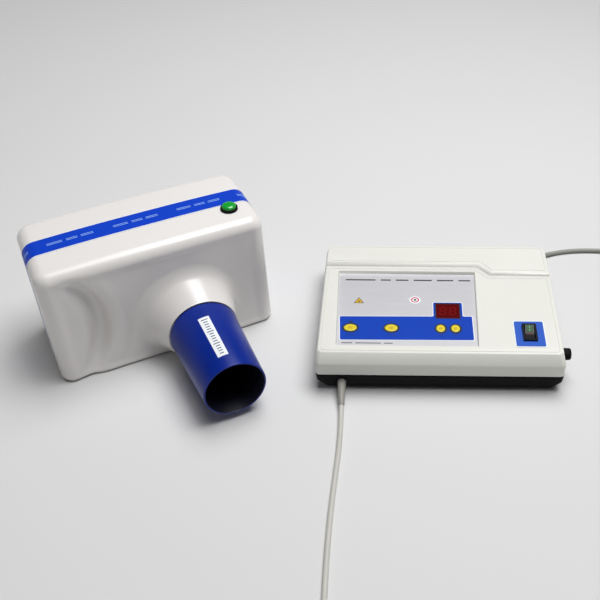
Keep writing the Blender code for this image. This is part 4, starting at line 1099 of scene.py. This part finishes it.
def printed(name, outlines, layer, look, slot="label_blue", body="control_box", base=PANEL_Z):
    """A printed film on the panel; a higher layer lies over a lower one."""
    item = flat(name, outlines, base - 0.00002, base + FILM * layer, BOX)
    finish_piece(item, look, body, slot=slot)


def build_panel():
    holes = []
    rims = []
    for x, y, half_x, half_y in map(key_size, KEYS):
        holes.append(ellipse(x, y, half_x + 0.0003, half_y + 0.0003))
        rims.append(ellipse(x + 0.0002, y - 0.0003, half_x + 0.002, half_y + 0.0022))
    x, y, _ = middle("display_window", BOX)
    window = rectangle(x, y, 0.0123, 0.01155)
    field = mm((-101.8, 29), (35, 30), (34.7, 66.9), (25, 66.8), (25, 89.2), (-5.6, 89.2),
               (-5.6, 66.5), (-104.1, 65.5))
    border = mm((-102.6, 28.2), (35.8, 29.2), (35.5, 67.8), (25.8, 67.7), (25.8, 90),
                (-6.4, 90), (-6.4, 67.4), (-104.9, 66.4))
    marks = [*bars(-0.0945, 0.0566, [0.0048], 0.0, 0.0018),
             *bars(-0.0928, 0.0588, [0.0014], 0.0, 0.0014),
             *bars(-0.0538, 0.0578, [0.002] * 3, 0.0009, 0.0008),
             *bars(-0.096, 0.0368, [0.0036] * 2, 0.0014, 0.0007),
             *bars(-0.0535, 0.0368, [0.0036] * 2, 0.0014, 0.0007),
             *bars(-0.0002, 0.0368, [0.0032] * 2, 0.0122, 0.0009)]
    for name, outlines, layer, look in (
        ("border", [rounded(border, 0.0022), window, *holes], 1, "white_print"),
        ("field", [rounded(field, 0.0018), window, *holes], 2, "blue_print"),
        ("window_rim", [pad(x, y, 0.0134, 0.0127, 0.0006), window], 3, "shade_print"),
        ("key_rims", [*rims, *holes], 3, "shade_print"),
        ("key_marks", marks, 3, "shade_print"),
    ):
        printed(f"panel_{name}", outlines, layer, look)
    title = bars(-0.101, 0.1272, (0.033, 0.011, 0.014, 0.02, 0.018, 0.013), 0.0056, 0.002)
    small = bars(-0.1, 0.0243, (0.011, 0.026, 0.009), 0.003, 0.0011)
    triangle = mm((-90.5, 87.2), (-79.5, 87.2), (-85, 97.2))
    centre = Vector((-0.085, 0.0905))
    inner = [tuple(centre + (Vector(corner) - centre) * 0.8) for corner in triangle]
    disc, ring, hole, dot = [ellipse(-0.0249, 0.0935, radius, radius)
                             for radius in (0.0062, 0.0044, 0.003, 0.0015)]
    for name, outlines, layer, look in (
        ("title_rule", title, 1, "dark_print"),
        ("small_rule", small, 1, "dark_print"),
        ("triangle", [rounded(triangle, 0.0006, 3)], 1, "dark_print"),
        ("triangle_fill", [rounded(inner, 0.0004, 3)], 2, "amber_print"),
        ("triangle_dot", [ellipse(-0.085, 0.0903, 0.001, 0.001)], 3, "dark_print"),
        ("disc", [disc], 1, "white_print"),
        ("disc_ring", [ring, hole], 2, "red_print"),
        ("disc_dot", [dot], 2, "dark_print"),
    ):
        printed(f"panel_{name}", outlines, layer, look, "silver_film")


def digit_segments(x, y):
    """The seven segments of a digit that shows 8."""
    half_x, half_y, thick = 0.003, 0.0058, 0.0012
    long, tall = half_x - thick * 0.6, half_y / 2 - thick * 0.6
    lean = 0.1
    places = [(0, level * half_y, long, thick / 2) for level in (1, 0, -1)]
    places += [(side * half_x, level * half_y / 2, thick / 2, tall)
               for side in (-1, 1) for level in (-1, 1)]
    return [pad(x + dx + dy * lean, y + dy, *half, 0.0004, 2) for dx, dy, *half in places]


def build_display():
    x, y, _ = middle("display_window", BOX)
    low, high = node_box("display_window", BOX)
    top = high.z + 0.0001
    window = flat("display_filter", [pad(x, y, 0.0122, 0.01145, 0.0006, 3)], low.z, top, BOX)
    finish_piece(round_edges(window, 0.0002, 2), "red_filter", "control_box", "display_window")
    digits = [*digit_segments(x - 0.0052, y), *digit_segments(x + 0.0052, y)]
    printed("display_digits", digits, 1, "red_segment", "red_filter", base=top)


def build_keys():
    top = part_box(KEYS[0])[1].z
    for name in KEYS:
        x, y, half_x, half_y = key_size(name)
        place = BOX @ move_to(x, y, 0.0) @ Matrix.Diagonal((half_x / half_y, 1, 1, 1))
        skirt = half_y + KEY_SKIRT
        cap = ((0.0, top - 0.0003), (half_y * 0.45, top - 0.0002), (half_y * 0.72, top),
               (half_y * 0.88, top - 0.0001), (half_y * 0.97, top - 0.0004),
               (half_y, top - 0.0008), (half_y, 0.0416), (skirt, 0.0414), (skirt, 0.0404),
               (0.002, 0.0402), (0.002, 0.04), (0.0, 0.04))
        turned(f"{name}_cap", cap, place, "key_yellow", name, name, sides=56)
        printed(f"{name}_dot", [ellipse(x, y, half_x * 0.38, half_y * 0.34)], 2, "key_amber",
                "key_yellow", name, top - 0.0003)


def build_switch():
    frame_low, frame_high = node_box("rocker_housing", BOX)
    x, y = (frame_low.x + frame_high.x) / 2, (frame_low.y + frame_high.y) / 2
    low, high = node_box("switch_label", BOX)
    half_x, half_y = (high.x - low.x) / 2, (high.y - low.y) / 2
    label_y = (low.y + high.y) / 2
    hole = rectangle(x, y, *ROCKER_HOLE)
    edge = 0.0012
    white = flat("switch_label_edge",
                 [pad(x, label_y, half_x + edge, half_y + edge, 0.003), hole],
                 TOP_Z - 0.0001, low.z + 0.0001, BOX)
    finish_piece(white, "white_print", "control_box", slot="label_white")
    blue = flat("switch_label_field", [pad(x, label_y, half_x, half_y, 0.0022), hole],
                low.z - 0.0001, high.z, BOX)
    finish_piece(blue, "label_blue", "control_box", "switch_label")
    rim = pad(x, y, (frame_high.x - frame_low.x) / 2, (frame_high.y - frame_low.y) / 2, 0.0012)
    well = pad(x, y, 0.0053, 0.0109, 0.0005, 3)
    under = frame_high.z - 0.002
    bezel = flat("rocker_bezel", [rim, well], under, frame_high.z, BOX)
    finish_piece(round_edges(bezel, 0.0005, 3), "dark_plastic", "control_box", "rocker_housing")
    walls = flat("rocker_well", [pad(x, y, 0.0063, 0.0115, 0.0005, 3), well], 0.034, under, BOX)
    finish_piece(walls, "dark_plastic", "control_box")
    build_rocker(BOX @ move_to(x, y, 0.0462) @ turn_x(12))


def build_rocker(pivot):
    """The rocker in its tilted rest position, with a green lens, two marks and a red fold line."""
    side = mm((-9.3, -1), (-5, -6.2), (5, -6.2), (9.3, -1), (9.6, 5.8))
    for step in range(1, 12):
        t = step / 6 - 1
        side.append((-0.0096 * t, 0.004 + 0.0018 * abs(t) ** 1.35))
    side.append((-0.0096, 0.0058))
    across = Matrix.Rotation(math.radians(90), 4, "Z") @ turn_x(90)
    rocker = flat("rocker_cap", [side], -0.00485, 0.00485, pivot @ across)
    finish_piece(round_edges(rocker, 0.0004, 2, 40), "dark_plastic", "power_rocker",
                 "power_rocker")
    facet = pivot @ move_to(0, 0.005, 0.0048) @ turn_x(11)
    lens = flat("rocker_lens", [pad(0, 0, 0.0037, 0.004, 0.0008, 3)], -0.0006, 0.00035, facet)
    finish_piece(round_edges(lens, 0.0002, 2), "lens_green", "power_rocker", slot="dark_plastic")
    for number, shift in ((1, -0.0017), (2, 0.0016)):
        mark = flat(f"rocker_mark_{number}", [pad(0, shift, 0.0004, 0.0011, 0.0002, 2)],
                    0.0003, 0.00042, facet)
        finish_piece(mark, "mark_green", "power_rocker", slot="dark_plastic")
    fold = flat("rocker_fold", [pad(0, -0.0009, 0.0034, 0.0003, 0.0001, 2)], 0.0036, 0.00412,
                pivot)
    finish_piece(fold, "red_segment", "power_rocker", slot="dark_plastic")


def build_fuse():
    spot = middle("fuse_cap", BOX)
    spot.x = BOX_WIDTH / 2 - 0.0004
    place = BOX @ move_to(*spot) @ TO_RIGHT
    socket = mm((6.8, 1.3), (7.2, 0.9), (7.2, 0.1), (5.5, 0.1), (5.5, -24.5), (2, -24.5),
                (2, -23), (4.2, -23), (4.2, 1.3))
    turned("fuse_socket", socket, place, "dark_plastic", "control_box", "fuse_holder", sides=56,
           ring=True)
    body = mm((0, 10.2), (4, 10.2), (5.2, 9.8), (5.9, 9), (6.2, 8), (6.2, 2.2), (5.9, 1.6),
              (3.8, 1.5), (3.8, -4), (2.9, -4), (2.9, 1), (0, 1))
    knob = turned("fuse_knob", body, place, "black_plastic", "fuse_cap", "fuse_cap", sides=96,
                  ribs=48, rib_depth=0.0002)
    cut(knob, flat("fuse_slot", [rectangle(0, 0, 0.0045, 0.0006)], 0.0088, 0.012, place))
    shade(knob, Matrix.Identity(4), 25)


# ---------------------------------------------------------------- stage

def add_light(name, data, place, way):
    light = linked(name, data)
    light.location = place
    light.rotation_euler = way.to_track_quat("-Z", "Y").to_euler()


def build_stage():
    """A light grey floor, a pale horizon that darkens upward, and two overhead lights."""
    shape = bmesh.new()
    bmesh.ops.create_grid(shape, x_segments=1, y_segments=1, size=20)
    floor = scene_object("floor", shape)
    floor.location = (0.2, 0.5, -0.0001)
    look = make_look("floor", (0.66, 0.66, 0.66), 0.9, 0.01, 3.0, 40, 0.01)
    floor.data.materials.append(look)
    world = bpy.data.worlds.new("studio")
    world.use_nodes = True
    tree = world.node_tree
    background = tree.nodes["Background"]
    background.inputs["Color"].default_value = (1.0, 1.0, 1.0, 1.0)
    height = tree.nodes.new("ShaderNodeSeparateXYZ")
    fade = tree.nodes.new("ShaderNodeMapRange")
    for socket, value in (("From Min", 0.08), ("From Max", 0.42), ("To Min", 0.4),
                          ("To Max", 0.07)):
        fade.inputs[socket].default_value = value
    direction = tree.nodes.new("ShaderNodeTexCoord").outputs["Generated"]
    tree.links.new(direction, height.inputs["Vector"])
    tree.links.new(height.outputs["Z"], fade.inputs["Value"])
    tree.links.new(fade.outputs["Result"], background.inputs["Strength"])
    bpy.context.scene.world = world
    lamp = bpy.data.lights.new("overhead", "AREA")
    lamp.shape = "RECTANGLE"
    lamp.size, lamp.size_y = 1.2, 0.8
    lamp.energy = 17
    place, target = Vector((0.5, 0.22, 1.45)), Vector((0.2, 0.0, 0.05))
    add_light("overhead", lamp, place, target - place)
    sky = bpy.data.lights.new("sky_panel", "SUN")
    sky.energy = 1.32
    sky.angle = math.radians(40)
    add_light("sky_panel", sky, (0, 0, 0), Vector((-0.2, -0.02, -1.0)))
    bpy.context.scene.view_settings.view_transform = "Standard"


def build_camera():
    """Looks down at the set from the front, turned hardly at all, with the lens of the fit."""
    data = bpy.data.cameras.new("camera")
    data.sensor_width = 36
    data.lens = 54.66
    data.shift_x = -0.15
    data.clip_end = 50
    camera = linked("camera", data)
    camera.location = (0.2684802, -0.76408166, 0.66954256)
    down, turn = 0.6932, 0.015
    camera.rotation_euler = (math.pi / 2 - down, 0.0, turn)
    bpy.context.scene.camera = camera


make_looks()
dress_cad_nodes()
build_stage()
build_camera()
build_leads()
build_shells()
build_band()
build_cone()
build_button()
build_inlet()
build_cover()
build_base()
build_panel()
build_display()
build_keys()
build_switch()
build_fuse()
